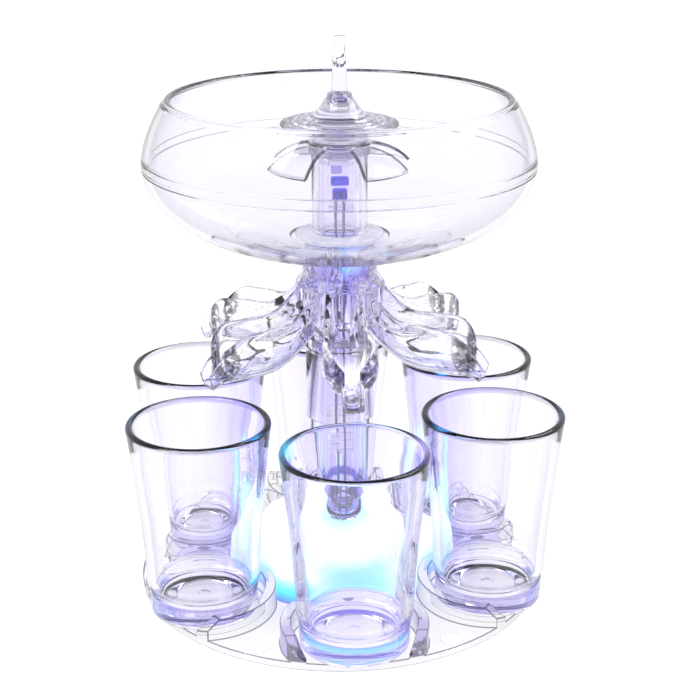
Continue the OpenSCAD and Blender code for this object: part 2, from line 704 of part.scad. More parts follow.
// A flat splash with round ripples, its waist below and its cone above
module ripple_disc() {
    low = stopper_top_at + 1;
    thick = ripple_at + 1.6;
    band = (ripple_r - 8.5) / ripple_n;
    ripples = [for (k = [0:8 * ripple_n]) let (r = ripple_r - 1.2 - (ripple_r - 9.7) * k / (8 * ripple_n))
        [r, thick + 0.15 * (ripple_r - r) + ripple_h * (1 - cos(360 * k / 8)) / 2]];
    color([0.95, 0.95, 1, 0.35]) on_feet() rotate_extrude() difference() {
        polygon(concat([[0, low], [8.6, low], [8.8, low + 0.6], [7.2, low + 1.4], [7.4, low + 2],
            [9.4, low + 3], [10.5, ripple_at + 0.2], [ripple_r - 2.4, ripple_at - 0.1],
            [ripple_r - 0.5, ripple_at + 0.5], [ripple_r, ripple_at + 1.3], [ripple_r - 0.4, thick + 0.2]],
            ripples, [[8, thick + 1.9], [6, thick + 2.9], [4.4, thick + 4.6],
            [3.6, thick + 6.4], [3.3, thick + 8.2], [3.3, thick + 8.8], [0, thick + 8.8]]));
        translate([0, spire_at]) square([spire_r - 0.5, 40]);
    }
}

// Tapered spire with a slanting cut down its front near the top
module spire() {
    foot_at = ripple_at + 10.6;
    color([0.97, 0.97, 1, 0.4]) on_feet() difference() {
        union() {
            translate([0, 0, spire_at]) cylinder(r = spire_r - 0.5, h = foot_at - spire_at + eps);
            translate([0, 0, foot_at]) cylinder(r1 = spire_r, r2 = 1.85, h = spire_top_at - foot_at);
        }
        translate([0, -0.6, spire_top_at]) rotate([-10, 0, 0]) translate([-5, -10, -7]) cube([10, 10, 12]);
    }
}

// ---- Glasses -------------------------------------------------------------

// Outer radius of a glass at a height above its foot
function glass_out(h) = let (u = max(0, (h - glass_ring_h) / (glass_h - glass_ring_h)))
    glass_foot_r + 1 + (glass_rim_r - glass_foot_r - 1) * pow(u, 1.5);

module glass(number) {
    corner_r = glass_foot_r - 2.7;
    outside = [for (k = [0:10]) let (h = glass_ring_h + 0.4 + (glass_h - glass_ring_h - 1) * k / 10) [glass_out(h), h]];
    inside = [for (k = [10:-1:0]) let (h = glass_ring_h + (glass_h - glass_ring_h - 0.6) * k / 10) [glass_out(h) - glass_wall, h]];
    color([0.95, 0.94, 1, 0.3]) on_feet() at_glass(number - 1) translate([0, 0, glass_at]) rotate_extrude()
        polygon(concat([[0, 0.5], [glass_foot_r - 3, 0.5], [glass_foot_r - 3.4, 0], [glass_foot_r - 0.7, 0],
            [glass_foot_r, 0.8], [glass_foot_r + 0.2, glass_ring_h - 3.2], [glass_foot_r + 0.4, glass_ring_h - 0.2]],
            outside, [[glass_rim_r - 0.8, glass_h], [glass_rim_r - glass_wall + 0.8, glass_h]], inside,
            [[corner_r, glass_floor_t + 2.4], [corner_r - 1.6, glass_floor_t + 0.9],
            [glass_flat_r, glass_floor_t], [0, glass_floor_t]]));
}

base_tray();
base_feet();
light_dome();
battery_box();
battery_cells();
battery_contacts();
battery_cover();
cover_screws();
led_board();
base_lights();
switch_block();
switch_button();
column_collar();
lower_column();
light_post();
post_wires();
column_board();
post_light();
post_light_case();
hub_sleeve();
spout_hub();
post_seal();
for (i = [1:glass_n]) spout(i);
bowl_lower();
bowl_upper();
bowl_gasket();
stopper_tube();
foot_seal();
petal_cap();
ripple_disc();
spire();
for (i = [1:glass_n]) glass(i);
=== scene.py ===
"""Looks of a light-up party shot dispenser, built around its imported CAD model.
Shapes are in millimetres and meshes in metres, with Z above the surface it stands on. Profiles
that are turned into solids have their heights above the tray's underside instead."""
import math
from functools import reduce

import bmesh
import bpy
import numpy as np
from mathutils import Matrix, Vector


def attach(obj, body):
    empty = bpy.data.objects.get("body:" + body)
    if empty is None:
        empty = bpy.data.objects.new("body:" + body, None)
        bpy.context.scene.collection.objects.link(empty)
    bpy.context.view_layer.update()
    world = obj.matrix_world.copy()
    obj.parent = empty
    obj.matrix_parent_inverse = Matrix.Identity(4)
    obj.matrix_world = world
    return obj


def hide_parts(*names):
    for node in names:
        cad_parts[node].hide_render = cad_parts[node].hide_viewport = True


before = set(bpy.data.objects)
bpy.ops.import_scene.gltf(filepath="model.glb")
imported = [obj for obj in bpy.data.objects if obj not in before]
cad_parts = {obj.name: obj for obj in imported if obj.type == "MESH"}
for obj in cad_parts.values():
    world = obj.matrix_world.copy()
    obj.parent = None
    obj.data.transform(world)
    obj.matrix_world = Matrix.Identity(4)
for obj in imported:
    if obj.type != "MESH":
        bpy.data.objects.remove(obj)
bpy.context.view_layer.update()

MM = 0.001
WELD = 1e-6                     # metres, below which points of a mesh are joined
FEET = 1.0                      # the rubber feet stand this far out below the tray
TURN = math.radians(60)         # from one glass to the next
GLASS_RING = 52.7               # radius of the circle of glasses
RIPPLE_R = 17.4                 # where the ripples of the splash disc start
RIPPLE_STEP = 2.17              # from one ripple to the next
PETAL_TURN = math.radians(127)  # of the first petal, about the axis
PETAL_HALF = math.radians(23)   # half of the turn that a petal spans
TRAY_IOR = 1.07                 # low, so that the plate shows the floor below it
CAMERA_AT = (-36.278, -450.943, 240.982)
CAMERA_TURN, CAMERA_PITCH = math.radians(5.0076), math.radians(19.691)
CAMERA_LENS = 76.7297
WHITE = (1.0, 1.0, 1.0)


# ---- Meshes ----

def soften(points, cut, steps=5):
    """Rounds each corner of a line of (r, z) points. A corner P becomes the curve
    (1-t)^2 A + 2t(1-t) P + t^2 B, where A and B lie on its two sides at a distance cut, or at
    0.45 of a shorter side. The two end points stay."""
    p = np.asarray(points, float)
    cut = np.broadcast_to(np.asarray(cut, float), (len(p),))[1:-1, None]
    back, ahead = p[:-2] - p[1:-1], p[2:] - p[1:-1]
    lb, la = np.linalg.norm(back, axis=1)[:, None], np.linalg.norm(ahead, axis=1)[:, None]
    a = p[1:-1] + back / lb * np.minimum(cut, 0.45 * lb)
    b = p[1:-1] + ahead / la * np.minimum(cut, 0.45 * la)
    t = np.linspace(0, 1, steps)[None, :, None]
    q = (1 - t) ** 2 * a[:, None] + 2 * t * (1 - t) * p[1:-1, None] + t ** 2 * b[:, None]
    line = np.concatenate([p[:1], q.reshape(-1, 2), p[-1:]])
    far = np.linalg.norm(np.diff(line, axis=0), axis=1) > 1e-4
    return line[np.concatenate([[True], far])]


def make_piece(name, body, material, grids, slot, stands_for=(), sharp=35):
    """One object from several grids of points (rows, columns, 3) in millimetres. Each grid is
    (points, wrap rows, wrap columns). Neighbouring points make four-sided faces, and points that
    meet, as at a pole, are joined."""
    verts, faces, start = [], [], 0
    for points, wrap_rows, wrap_columns in grids:
        n, m = points.shape[:2]
        i = np.arange(n if wrap_rows else n - 1)[:, None]
        j = np.arange(m if wrap_columns else m - 1)[None, :]
        i2, j2 = (i + 1) % n, (j + 1) % m
        quads = np.stack([i * m + j, i2 * m + j, i2 * m + j2, i * m + j2], -1).reshape(-1, 4)
        verts.append(points.reshape(-1, 3) * MM)
        faces.append(quads + start)
        start += n * m
    mesh = bpy.data.meshes.new(name)
    mesh.from_pydata(np.concatenate(verts), [], np.concatenate(faces).tolist())
    tidy_mesh(mesh, sharp)
    return place(name, mesh, body, material, slot, stands_for)


def smooth(mesh, sharp):
    """Shades a mesh smooth, with edges steeper than sharp degrees left crisp."""
    mesh.polygons.foreach_set("use_smooth", np.ones(len(mesh.polygons), bool))
    mesh.set_sharp_from_angle(angle=math.radians(sharp))


def tidy_mesh(mesh, sharp):
    """Joins points that meet, turns faces outwards and smooths the mesh."""
    work = bmesh.new()
    work.from_mesh(mesh)
    bmesh.ops.remove_doubles(work, verts=work.verts, dist=WELD)
    bmesh.ops.dissolve_degenerate(work, edges=work.edges, dist=1e-8)
    bmesh.ops.recalc_face_normals(work, faces=work.faces)
    work.to_mesh(mesh)
    work.free()
    smooth(mesh, sharp)
    mesh.update()


def new_object(name, data):
    """Puts a new object into the scene."""
    thing = bpy.data.objects.new(name, data)
    bpy.context.scene.collection.objects.link(thing)
    return thing


def place(name, mesh, body, material, slot, stands_for):
    """Puts a mesh into the scene as a piece that rides on a body and replaces CAD nodes."""
    piece = new_object(name, mesh)
    mesh.materials.clear()
    mesh.materials.append(material)
    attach(piece, body)
    if stands_for:
        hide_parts(*stands_for)
    return piece


def whole_turn(steps):
    """Angles over a whole turn, in even steps from 0."""
    return np.arange(steps) * 2 * np.pi / steps


def revolve(profile, centre=(0, 0), turns=144):
    """Grid of a profile of (r, z) turned about an upright axis through centre:
    (cx + r sin a, cy - r cos a, z + FEET), with a over a whole turn."""
    a = whole_turn(turns)
    r, z = profile[:, 0][:, None], profile[:, 1][:, None] + FEET
    return np.stack([centre[0] + r * np.sin(a), centre[1] - r * np.cos(a), z + 0 * a], -1)


def solid_of_turn(name, body, material, profile, stands_for, slot="clear_acrylic", turns=144,
                  centre=(0, 0)):
    """A closed profile turned into a solid. A profile that starts and ends on the axis is
    closed there, and any other one is a ring whose last point joins its first."""
    on_axis = profile[0][0] == 0 and profile[-1][0] == 0
    grid = revolve(np.asarray(profile, float), centre, turns)
    return make_piece(name, body, material, [(grid, not on_axis, True)], slot, stands_for)


def ring_profile(points, cut, steps=4):
    """Closed ring profile with rounded corners: the line starts and ends half-way up a side."""
    p = np.asarray(points, float)
    middle = (p[0] + p[-1]) / 2
    return soften(np.concatenate([[middle], p, [middle]]), cut, steps)[:-1]


def bevelled_copy(name, node, material, slot, width, body, edge_material=None):
    """A CAD node's own mesh with its points joined, faces within flat degrees of each other
    merged, and edges steeper than crease degrees rounded. The rounded edges may have a darker
    material of their own, for a painted dark edge."""
    flat, crease = 0.6, 32
    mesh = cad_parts[node].data.copy()
    work = bmesh.new()
    work.from_mesh(mesh)
    bmesh.ops.remove_doubles(work, verts=work.verts, dist=2 * WELD)
    bmesh.ops.dissolve_limit(work, angle_limit=math.radians(flat), verts=work.verts,
                             edges=work.edges)
    work.to_mesh(mesh)
    work.free()
    smooth(mesh, crease)
    piece = place(name, mesh, body, material, slot, (node,))
    bevel = piece.modifiers.new("rounded_edges", "BEVEL")
    bevel.width = width * MM
    bevel.segments = 2
    bevel.limit_method = "ANGLE"
    bevel.angle_limit = math.radians(crease)
    bevel.harden_normals = True
    # Painted dark edge: a darker material on the rounded edges.
    if edge_material:
        mesh.materials.append(edge_material)
        bevel.material = 1
        bevel.use_clamp_overlap = False
    return piece


# ---- Materials ----

def fill(tree, node, values):
    """Gives a node its values. Each goes to the input of that name, or else to the node's own
    setting, and a socket is linked."""
    for key, value in values.items():
        label = key.replace("_", " ")
        socket = next((s for s in node.inputs if s.name.lower() == label), None)
        if socket is None:
            setattr(node, key, value)
        elif isinstance(value, bpy.types.NodeSocket):
            tree.links.new(value, socket)
        else:
            socket.default_value = value


def add(tree, kind, **values):
    """Adds a node with its values."""
    node = tree.nodes.new(kind)
    fill(tree, node, values)
    return node


def ramp(tree, factor, stops):
    """Colour ramp through (position, (r, g, b)) stops."""
    node = tree.nodes.new("ShaderNodeValToRGB")
    bar = node.color_ramp
    while len(bar.elements) > 1:
        bar.elements.remove(bar.elements[-1])
    for k, (at, colour) in enumerate(stops):
        stop = bar.elements[0] if k == 0 else bar.elements.new(at)
        stop.position = at
        stop.color = (*colour, 1)
    tree.links.new(factor, node.inputs["Fac"])
    return node.outputs["Color"]


class Paint:
    """One material, and short ways to build its nodes. place holds Object coordinates, in metres.
    radius is the distance from the object's upright axis, and it and height are in millimetres."""

    def __init__(self, name):
        self.material = bpy.data.materials.new(name)
        self.material.use_nodes = True
        self.tree = self.material.node_tree
        self.shader = self.tree.nodes["Principled BSDF"]
        self.colour = None
        self.place = self.add("ShaderNodeTexCoord").outputs["Object"]
        self.x, self.y, up = self.split(self.place)
        square = self.maths("ADD", self.times(self.x, self.x), self.times(self.y, self.y))
        self.radius = self.times(self.maths("SQRT", square), 1 / MM)
        self.height = self.times(up, 1 / MM)

    def add(self, kind, **values):
        """Adds a node to this material."""
        return add(self.tree, kind, **values)

    def set(self, **values):
        """Sets or links inputs of the shader."""
        fill(self.tree, self.shader, values)

    def split(self, vector):
        """The three parts of a vector or colour."""
        return tuple(self.add("ShaderNodeSeparateXYZ", vector=vector).outputs)

    def feed(self, sockets, values):
        """Gives each socket its value: a socket is linked, and a colour gets its alpha."""
        for socket, value in zip(sockets, values):
            if isinstance(value, bpy.types.NodeSocket):
                self.tree.links.new(value, socket)
            else:
                socket.default_value = (*value, 1) if isinstance(value, tuple) else value

    def maths(self, operation, *values, clamp=False):
        """One arithmetic step on sockets or numbers."""
        node = self.add("ShaderNodeMath", operation=operation, use_clamp=clamp)
        self.feed(node.inputs, values)
        return node.outputs[0]

    def times(self, *values):
        """The product of all values."""
        return reduce(lambda a, b: self.maths("MULTIPLY", a, b), values)

    def most(self, *values):
        """The largest of all values."""
        return reduce(lambda a, b: self.maths("MAXIMUM", a, b), values)

    def but(self, value):
        """1 less a value."""
        return self.maths("SUBTRACT", 1.0, value)

    def span(self, value, low, high, out_low=0.0, out_high=1.0, soft=False):
        """Takes low to high over to out_low to out_high, and holds its ends. A soft one eases in
        and out."""
        kind = "SMOOTHSTEP" if soft else "LINEAR"
        return self.add("ShaderNodeMapRange", value=value, from_min=low, from_max=high,
                        to_min=out_low, to_max=out_high, interpolation_type=kind).outputs[0]

    def band(self, value, low, high, soft):
        """1 where a value lies between low and high, falling to 0 over a width soft on either
        side."""
        return self.times(self.span(value, low - soft, low, soft=True),
                          self.span(value, high, high + soft, 1.0, 0.0, soft=True))

    def at_height(self, low, high, soft):
        """Band of heights."""
        return self.band(self.height, low, high, soft)

    def at_radius(self, low, high, soft):
        """Band of distances from the axis."""
        return self.band(self.radius, low, high, soft)

    def near(self, centre, reach, gain=1.0):
        """1 at a point, falling smoothly to 0 at a distance reach from it, both in millimetres,
        times a gain and held at 1."""
        gap = self.add("ShaderNodeVectorMath", operation="DISTANCE")
        self.tree.links.new(self.place, gap.inputs[0])
        gap.inputs[1].default_value = [c * MM for c in centre]
        close = self.span(gap.outputs["Value"], 0.0, reach * MM, 1.0, 0.0, soft=True)
        return self.maths("MULTIPLY", close, gain, clamp=True)

    def facing(self):
        """0 where the surface faces the viewer, and 1 where it is seen edge-on."""
        return self.add("ShaderNodeLayerWeight", blend=0.5).outputs["Facing"]

    def noise(self, scale, detail=2.0, vector=None):
        """Noise over the piece's own place, or over another vector."""
        vector = self.place if vector is None else vector
        return self.add("ShaderNodeTexNoise", vector=vector, scale=scale,
                        detail=detail).outputs["Fac"]

    def cells(self, scale, vector):
        """Three random values for each of the cells that fill space."""
        node = self.add("ShaderNodeTexVoronoi", vector=vector, scale=scale, randomness=1.0)
        return self.split(node.outputs["Color"])

    def ramp(self, factor, stops):
        """Colour ramp through (position, (r, g, b)) stops."""
        return ramp(self.tree, factor, stops)

    def mix(self, factor, a, b):
        """Mixes two colours, each a socket or (r, g, b)."""
        node = self.add("ShaderNodeMix", data_type="RGBA", clamp_result=True)
        self.feed((node.inputs[0], node.inputs[6], node.inputs[7]), (factor, a, b))
        return node.outputs[2]

    def base(self, colour):
        """Makes a colour the base colour."""
        self.colour = colour
        self.set(base_color=colour)

    def tint(self, factor, colour):
        """Takes the base colour towards another one."""
        self.base(self.mix(factor, self.colour, colour))

    def glow(self, colour, strength):
        """Lets the surface shine."""
        colour = (*colour, 1) if isinstance(colour, tuple) else colour
        self.set(emission_color=colour, emission_strength=strength)

    def relief(self, value, depth, strength=1.0):
        """Raises the surface by a value, over a depth in millimetres."""
        bump = self.add("ShaderNodeBump", height=value, strength=strength, distance=depth * MM)
        self.set(normal=bump.outputs["Normal"])


def acrylic(name, near, far, edge, edge_power, near_r=0, far_r=60, edge_near=None, wave=0.0,
            wave_scale=120.0, stretch=(1, 1, 1), absorb=None, ior=1.49, bands=(), spots=()):
    """Clear moulded acrylic. Its tint goes from near, at near_r millimetres from the axis, where
    the lamps colour it, to far at far_r, as painted lamp light. Each band (low, high, soft, colour)
    tints a range of heights, and each spot (centre, reach, colour) tints what lies round a point.
    It darkens to edge where it is seen edge-on, a painted dark edge in place of the dark
    surroundings that edge-on acrylic reflects and bends. A soft wave in its surface bends what is
    seen through it, and absorb (colour, density) is what its thickness takes out."""
    paint = Paint(name)
    # Painted lamp light: tinted near by the axis, where the lamps are, and far further out.
    share = paint.span(paint.radius, near_r, far_r, soft=True)
    paint.base(paint.mix(share, near, far))
    for low, high, soft, colour in bands:
        paint.tint(paint.at_height(low, high, soft), colour)
    for centre, reach, colour in spots:
        paint.tint(paint.near(centre, reach), colour)
    rim = edge if edge_near is None else paint.mix(share, edge_near, edge)
    # Painted dark edge: darkens where seen edge-on, in place of dark surroundings reflected and
    # bent.
    paint.tint(paint.maths("POWER", paint.facing(), edge_power), rim)
    paint.set(transmission_weight=1.0, roughness=0.0, ior=ior)
    if wave:
        scaled = paint.add("ShaderNodeMapping", vector=paint.place, scale=stretch).outputs[0]
        paint.relief(paint.noise(wave_scale, vector=scaled), wave)
    if absorb:
        volume = paint.add("ShaderNodeVolumeAbsorption", color=(*absorb[0], 1), density=absorb[1])
        output = paint.tree.nodes["Material Output"]
        paint.tree.links.new(volume.outputs[0], output.inputs["Volume"])
    return paint


def plastic(name, colour, dark, roughness, scale=900.0, metallic=0.0, glow=None):
    """Moulded plastic, rubber, metal or card: two close colours mixed by fine noise, uneven gloss
    and a fine grain in the surface."""
    paint = Paint(name)
    grain = paint.noise(scale, 4.0)
    paint.base(paint.ramp(grain, [(0.15, dark), (0.85, colour)]))
    gloss = paint.span(grain, 0.0, 1.0, roughness - 0.06, roughness + 0.08)
    paint.set(roughness=gloss, metallic=metallic)
    paint.relief(grain, 0.02)
    if glow:
        paint.glow(*glow)
    return paint.material


def cup_material():
    """Glass acrylic, violet towards the lamps as painted lamp light, with painted light and shade on
    its rim. The strip of wall that faces the dome lights up cyan, by the attribute towards_lamp
    that each glass carries, as painted light. The front glass has no such strip: its rim glows
    blue on the left and violet on the right, and its foot glows violet, all painted light."""
    paint = acrylic("cup_acrylic", near=(0.84, 0.81, 1.0), far=(0.985, 0.98, 1.0), near_r=32,
                    far_r=47, edge=(0.10, 0.095, 0.14), edge_near=(0.20, 0.15, 0.55),
                    edge_power=4, wave=0.05, wave_scale=60, absorb=((0.60, 0.55, 0.97), 24.0))
    # Painted light and shade on the rim: violet towards the lamps, grey away from them, pale on the
    # front glass.
    rim = paint.mix(paint.span(paint.radius, 34, 60), (0.42, 0.36, 0.86), (0.55, 0.54, 0.60))
    rim = paint.mix(paint.near((0, -GLASS_RING, 66), 34, 3.0), rim, (0.80, 0.76, 0.98))
    paint.tint(paint.at_height(65.4, 68, 0.5), rim)
    # Painted light on the front glass's rim: blue on its left and violet on its right.
    left, right = paint.near((-21, -49, 66), 12), paint.near((21, -51, 66), 13)
    paint.tint(left, (0.36, 0.68, 1.0))
    paint.tint(right, (0.56, 0.50, 0.86))
    # Painted light: a cyan glow on the strip of wall that faces the dome, and a violet glow at the
    # front glass's foot.
    towards = paint.add("ShaderNodeAttribute", attribute_name="towards_lamp").outputs["Fac"]
    strip = paint.times(paint.band(towards, 0.988, 1.1, 0.006), paint.at_height(24, 38, 9),
                        paint.but(paint.near((0, -36, 34), 34, 4.0)), 0.55)
    foot = paint.times(paint.near((0, -GLASS_RING, 6), 30), paint.at_height(3.0, 9.0, 0.8), 0.10)
    top = paint.times(paint.at_height(63.5, 68, 1.0), 0.45)
    blue = paint.most(strip, paint.times(left, top))
    violet = paint.most(foot, paint.times(right, top))
    light = paint.mix(paint.maths("GREATER_THAN", violet, blue), (0.10, 0.72, 1.0),
                      (0.58, 0.50, 1.0))
    paint.glow(light, paint.most(blue, violet))
    return paint.material


def hub_material():
    """Hub acrylic: tall narrow crystal facets, violet or clear, from cells that are stretched
    upright, the violet being painted lamp light, with a pale blue band of painted light under the
    bowl, a painted dark edge where it is seen edge-on and a painted blue glow in front just under
    the bowl."""
    paint = Paint("hub_acrylic")
    tall = paint.add("ShaderNodeMapping", vector=paint.place, scale=(1, 1, 0.22)).outputs[0]
    pick, depth = paint.cells(520.0, tall)[:2]
    # Painted lamp light: some facets violet, others clear.
    paint.base(paint.ramp(pick, [(0.0, (0.99, 0.985, 1.0)), (0.50, (0.97, 0.96, 1.0)),
                                 (0.66, (0.95, 0.94, 1.0)), (0.86, (0.76, 0.72, 1.0)),
                                 (1.0, (0.90, 0.92, 1.0))]))
    # Painted light: a pale blue band just under the bowl.
    paint.tint(paint.at_height(110.6, 113, 1.6), (0.86, 0.93, 1.0))
    # Painted dark edge where the hub is seen edge-on.
    paint.tint(paint.maths("POWER", paint.facing(), 4.0), (0.12, 0.09, 0.32))
    paint.relief(depth, 0.5, 0.7)
    paint.set(transmission_weight=1.0, roughness=0.0, ior=1.25)
    # Painted light: a blue glow in front just under the bowl.
    paint.glow((0.05, 0.45, 1.0), paint.times(paint.near((2, -11, 112), 6.5), depth, 0.6))
    return paint.material


def trough_material():
    """Trough acrylic: colourless above and violet along the keel, as painted lamp light, with fine
    grey lines along each trough, grey-black streaks of painted shade round its blunt end and a few
    dark glints of painted shade near the hub. The front trough shines inside with painted light,
    and has a mottled violet end of painted light and shade and a painted dark edge round its lip."""
    # Painted lamp light: violet towards the hub and along the keel.
    paint = acrylic("trough_acrylic", near=(0.90, 0.88, 1.0), far=(0.985, 0.985, 0.99), near_r=13,
                    far_r=24, edge=(0.02, 0.02, 0.025), edge_near=(0.16, 0.14, 0.40),
                    edge_power=3.2, wave=0.16, wave_scale=110, stretch=(1, 1, 0.7),
                    absorb=((0.75, 0.74, 0.8), 5.0), ior=1.38,
                    bands=((70, 78.5, 4, (0.86, 0.84, 1.0)),))
    radius, height = paint.radius, paint.height
    # Painted light: the front trough shines inside.
    paint.glow(WHITE, paint.times(paint.near((0, -28, 81), 11), 0.55))

    turn = paint.maths("ARCTAN2", paint.x, paint.y)
    across = paint.times(paint.maths("PINGPONG", turn, TURN / 2), radius)
    flow = paint.add("ShaderNodeCombineXYZ", x=across, y=height, z=paint.times(radius, 0.12))
    lines = paint.band(paint.noise(0.8, 3.0, flow.outputs[0]), 0.505, 0.52, 0.015)
    paint.tint(paint.times(lines, paint.at_radius(18, 41, 5), 0.4), (0.30, 0.29, 0.34))

    # Painted light and shade: a mottled violet end on the front trough.
    front = paint.times(paint.near((0, -43, 84), 15, 2.5), paint.at_radius(37, 45.2, 1), 0.9)
    end_light_and_shade = paint.ramp(paint.noise(650.0, 3.0), [(0.44, (0.08, 0.06, 0.20)),
                                                  (0.58, (0.60, 0.54, 0.96))])
    paint.tint(front, end_light_and_shade)

    # Painted shade: grey-black streaks round each blunt end, dark glints near the hub and a dark
    # edge round the front lip.
    end = paint.times(paint.at_radius(42.6, 45.2, 1.2), paint.at_height(79.5, 100, 3),
                      paint.band(paint.noise(420.0), 0.47, 2.0, 0.03), 0.85)
    pick = paint.cells(330.0, paint.place)[0]
    dark_glint = paint.times(paint.band(pick, 0.93, 2.0, 0.01), paint.at_height(93.5, 106, 1.0))
    side = paint.times(paint.band(across, 2.9, 9, 0.25), paint.at_radius(45.4, 60, 0.3))
    lip = paint.most(paint.at_radius(47.9, 60, 0.25), side)
    lip = paint.times(lip, paint.near((0, -48, 79), 12))
    paint.tint(paint.most(end, dark_glint, lip), (0.02, 0.02, 0.025))
    return paint.material


def petal_material():
    """Petal acrylic, with painted dark edges along the two side edges of each petal and finely along
    its rim, and pale round the ring that carries the petals."""
    paint = acrylic("petal_acrylic", near=(0.97, 0.965, 1.0), far=(0.985, 0.98, 1.0), far_r=20,
                    edge=(0.16, 0.15, 0.20), edge_power=4, ior=1.3)
    turn = paint.maths("ARCTAN2", paint.y, paint.x)
    turn = paint.maths("SUBTRACT", turn, PETAL_TURN - math.radians(90))
    off = paint.maths("PINGPONG", turn, math.radians(45))
    inset = paint.times(paint.maths("SUBTRACT", PETAL_HALF, off), paint.radius)
    # Painted dark edges along each petal's two sides and its rim.
    side = paint.times(paint.band(inset, -0.6, 0.5, 0.25), paint.at_radius(11.2, 30, 1.5))
    rim = paint.times(paint.at_radius(22.9, 30, 0.25), 0.5)
    paint.tint(paint.most(side, rim), (0.10, 0.09, 0.13))
    paint.tint(paint.at_radius(-1.0, 9.8, 0.3), (0.95, 0.94, 1.0))
    return paint.material


def disc_material():
    """Splash disc: its ripples show as fine grey rings of painted shade in their grooves, its rim
    has painted shade below, and a grey ring runs round the top of its cone."""
    # Painted shade: the band from height 150.6 to 152 darkens the rim's underside.
    paint = acrylic("splash_acrylic", near=(0.96, 0.955, 1.0), far=(0.95, 0.94, 0.99), far_r=18,
                    edge=(0.10, 0.09, 0.14), edge_power=3, wave=0.06, wave_scale=160,
                    absorb=((0.6, 0.58, 0.75), 14.0),
                    bands=((150.6, 152.0, 0.4, (0.34, 0.32, 0.42)),
                           (161.2, 162.0, 0.2, (0.66, 0.64, 0.74))))
    # Painted shade: fine grey rings in the ripple grooves.
    inwards = paint.maths("SUBTRACT", RIPPLE_R, paint.radius)
    wave = paint.maths("COSINE", paint.times(inwards, 2 * math.pi / RIPPLE_STEP))
    groove = paint.times(paint.band(wave, 0.86, 2.0, 0.15), paint.at_radius(8.2, 18.0, 0.6))
    paint.tint(groove, (0.12, 0.11, 0.16))
    return paint.material


def tray_material():
    """Tray acrylic: clear, with cradle walls that turn violet on either side of the front glass, as
    painted lamp light, and end in dark mottled tips of painted shade."""
    paint = acrylic("tray_acrylic", near=(0.90, 0.90, 1.0), far=(0.99, 0.988, 1.0), near_r=36,
                    far_r=56, edge=(0.10, 0.09, 0.16), edge_power=3, wave=0.02, wave_scale=80,
                    ior=TRAY_IOR)
    # Painted lamp light: violet cradle walls beside the front glass.
    beside = paint.most(*(paint.near((x, -60, 6), 17, 1.5) for x in (-19, 19)))
    violet = paint.times(paint.at_height(3.8, 12, 0.3), beside)
    paint.tint(violet, (0.36, 0.30, 0.70))
    # Painted shade: dark mottled tips on those walls.
    grain = paint.band(paint.noise(700.0), 0.42, 2.0, 0.06)
    tips = paint.times(violet, paint.at_radius(65.2, 80, 0.8), grain)
    paint.tint(tips, (0.08, 0.07, 0.11))
    return paint.material


def tray_edge_material():
    """Outline of the tray: dark rounded edges, painted as a dark edge, but clear ones on the sockets
    and openings in its plate, below the plate's top face and inside radius 65."""
    # Painted dark edge on the tray's rounded edges, violet towards the lamps.
    paint = acrylic("tray_edge_acrylic", near=(0.10, 0.08, 0.34), far=(0.13, 0.12, 0.16),
                    near_r=30, edge=(0.05, 0.05, 0.07), edge_power=2, wave=0.02, wave_scale=300,
                    ior=TRAY_IOR)
    hidden = paint.times(paint.at_height(-1.0, 3.1, 0.1), paint.at_radius(-1.0, 65.0, 0.3))
    paint.tint(hidden, (0.985, 0.98, 1.0))
    return paint.material


def column_material():
    """Column acrylic, with violet lines round its foot and neck, painted lamp light and shade, and a
    broad violet outline on the foot, between heights 25 and 36, a painted dark edge."""
    # Painted lamp light and shade: violet lines round the foot and a lavender band round the neck.
    paint = acrylic("column_acrylic", near=(0.95, 0.94, 1.0), far=(0.95, 0.94, 1.0),
                    edge=(0.20, 0.17, 0.42), edge_power=3.5, wave=0.05, wave_scale=90,
                    stretch=(1, 1, 0.3), absorb=((0.62, 0.58, 0.95), 5.0),
                    bands=((33.8, 35.2, 0.7, (0.28, 0.24, 0.62)),
                           (25.8, 31.0, 0.8, (0.92, 0.91, 1.0)),
                           (24.6, 25.4, 0.4, (0.34, 0.30, 0.66)),
                           (23.0, 23.8, 0.3, (0.40, 0.40, 0.80)),
                           (96, 112, 6, (0.84, 0.82, 1.0))))
    # Painted dark edge: a broad violet outline on the foot where it is seen edge-on.
    outline = paint.band(paint.facing(), 0.52, 2.0, 0.28)
    paint.tint(paint.times(paint.at_height(25.5, 36.0, 0.6), outline), (0.22, 0.16, 0.58))
    return paint.material


def board_material():
    """Pale circuit board with fine dark outlines of its parts, from a brick pattern that is
    turned upright. It glows in its own colours, as painted light."""
    paint = Paint("board_white")
    upright = paint.add("ShaderNodeMapping", vector=paint.place, scale=[1 / MM] * 3,
                        rotation=(math.radians(90), 0, 0)).outputs[0]
    parts = paint.add("ShaderNodeTexBrick", vector=upright, scale=1.0, mortar_size=0.06,
                      mortar_smooth=0.3, brick_width=3.3, row_height=2.6,
                      color1=(0.97, 0.97, 1.0, 1), color2=(0.92, 0.91, 1.0, 1),
                      mortar=(0.10, 0.09, 0.16, 1)).outputs["Color"]
    paint.base(parts)
    # Painted light: the board glows though it is no lamp.
    paint.glow(parts, 0.6)
    paint.set(roughness=paint.span(paint.noise(500.0, 3.0), 0.0, 1.0, 0.3, 0.5))
    return paint.material


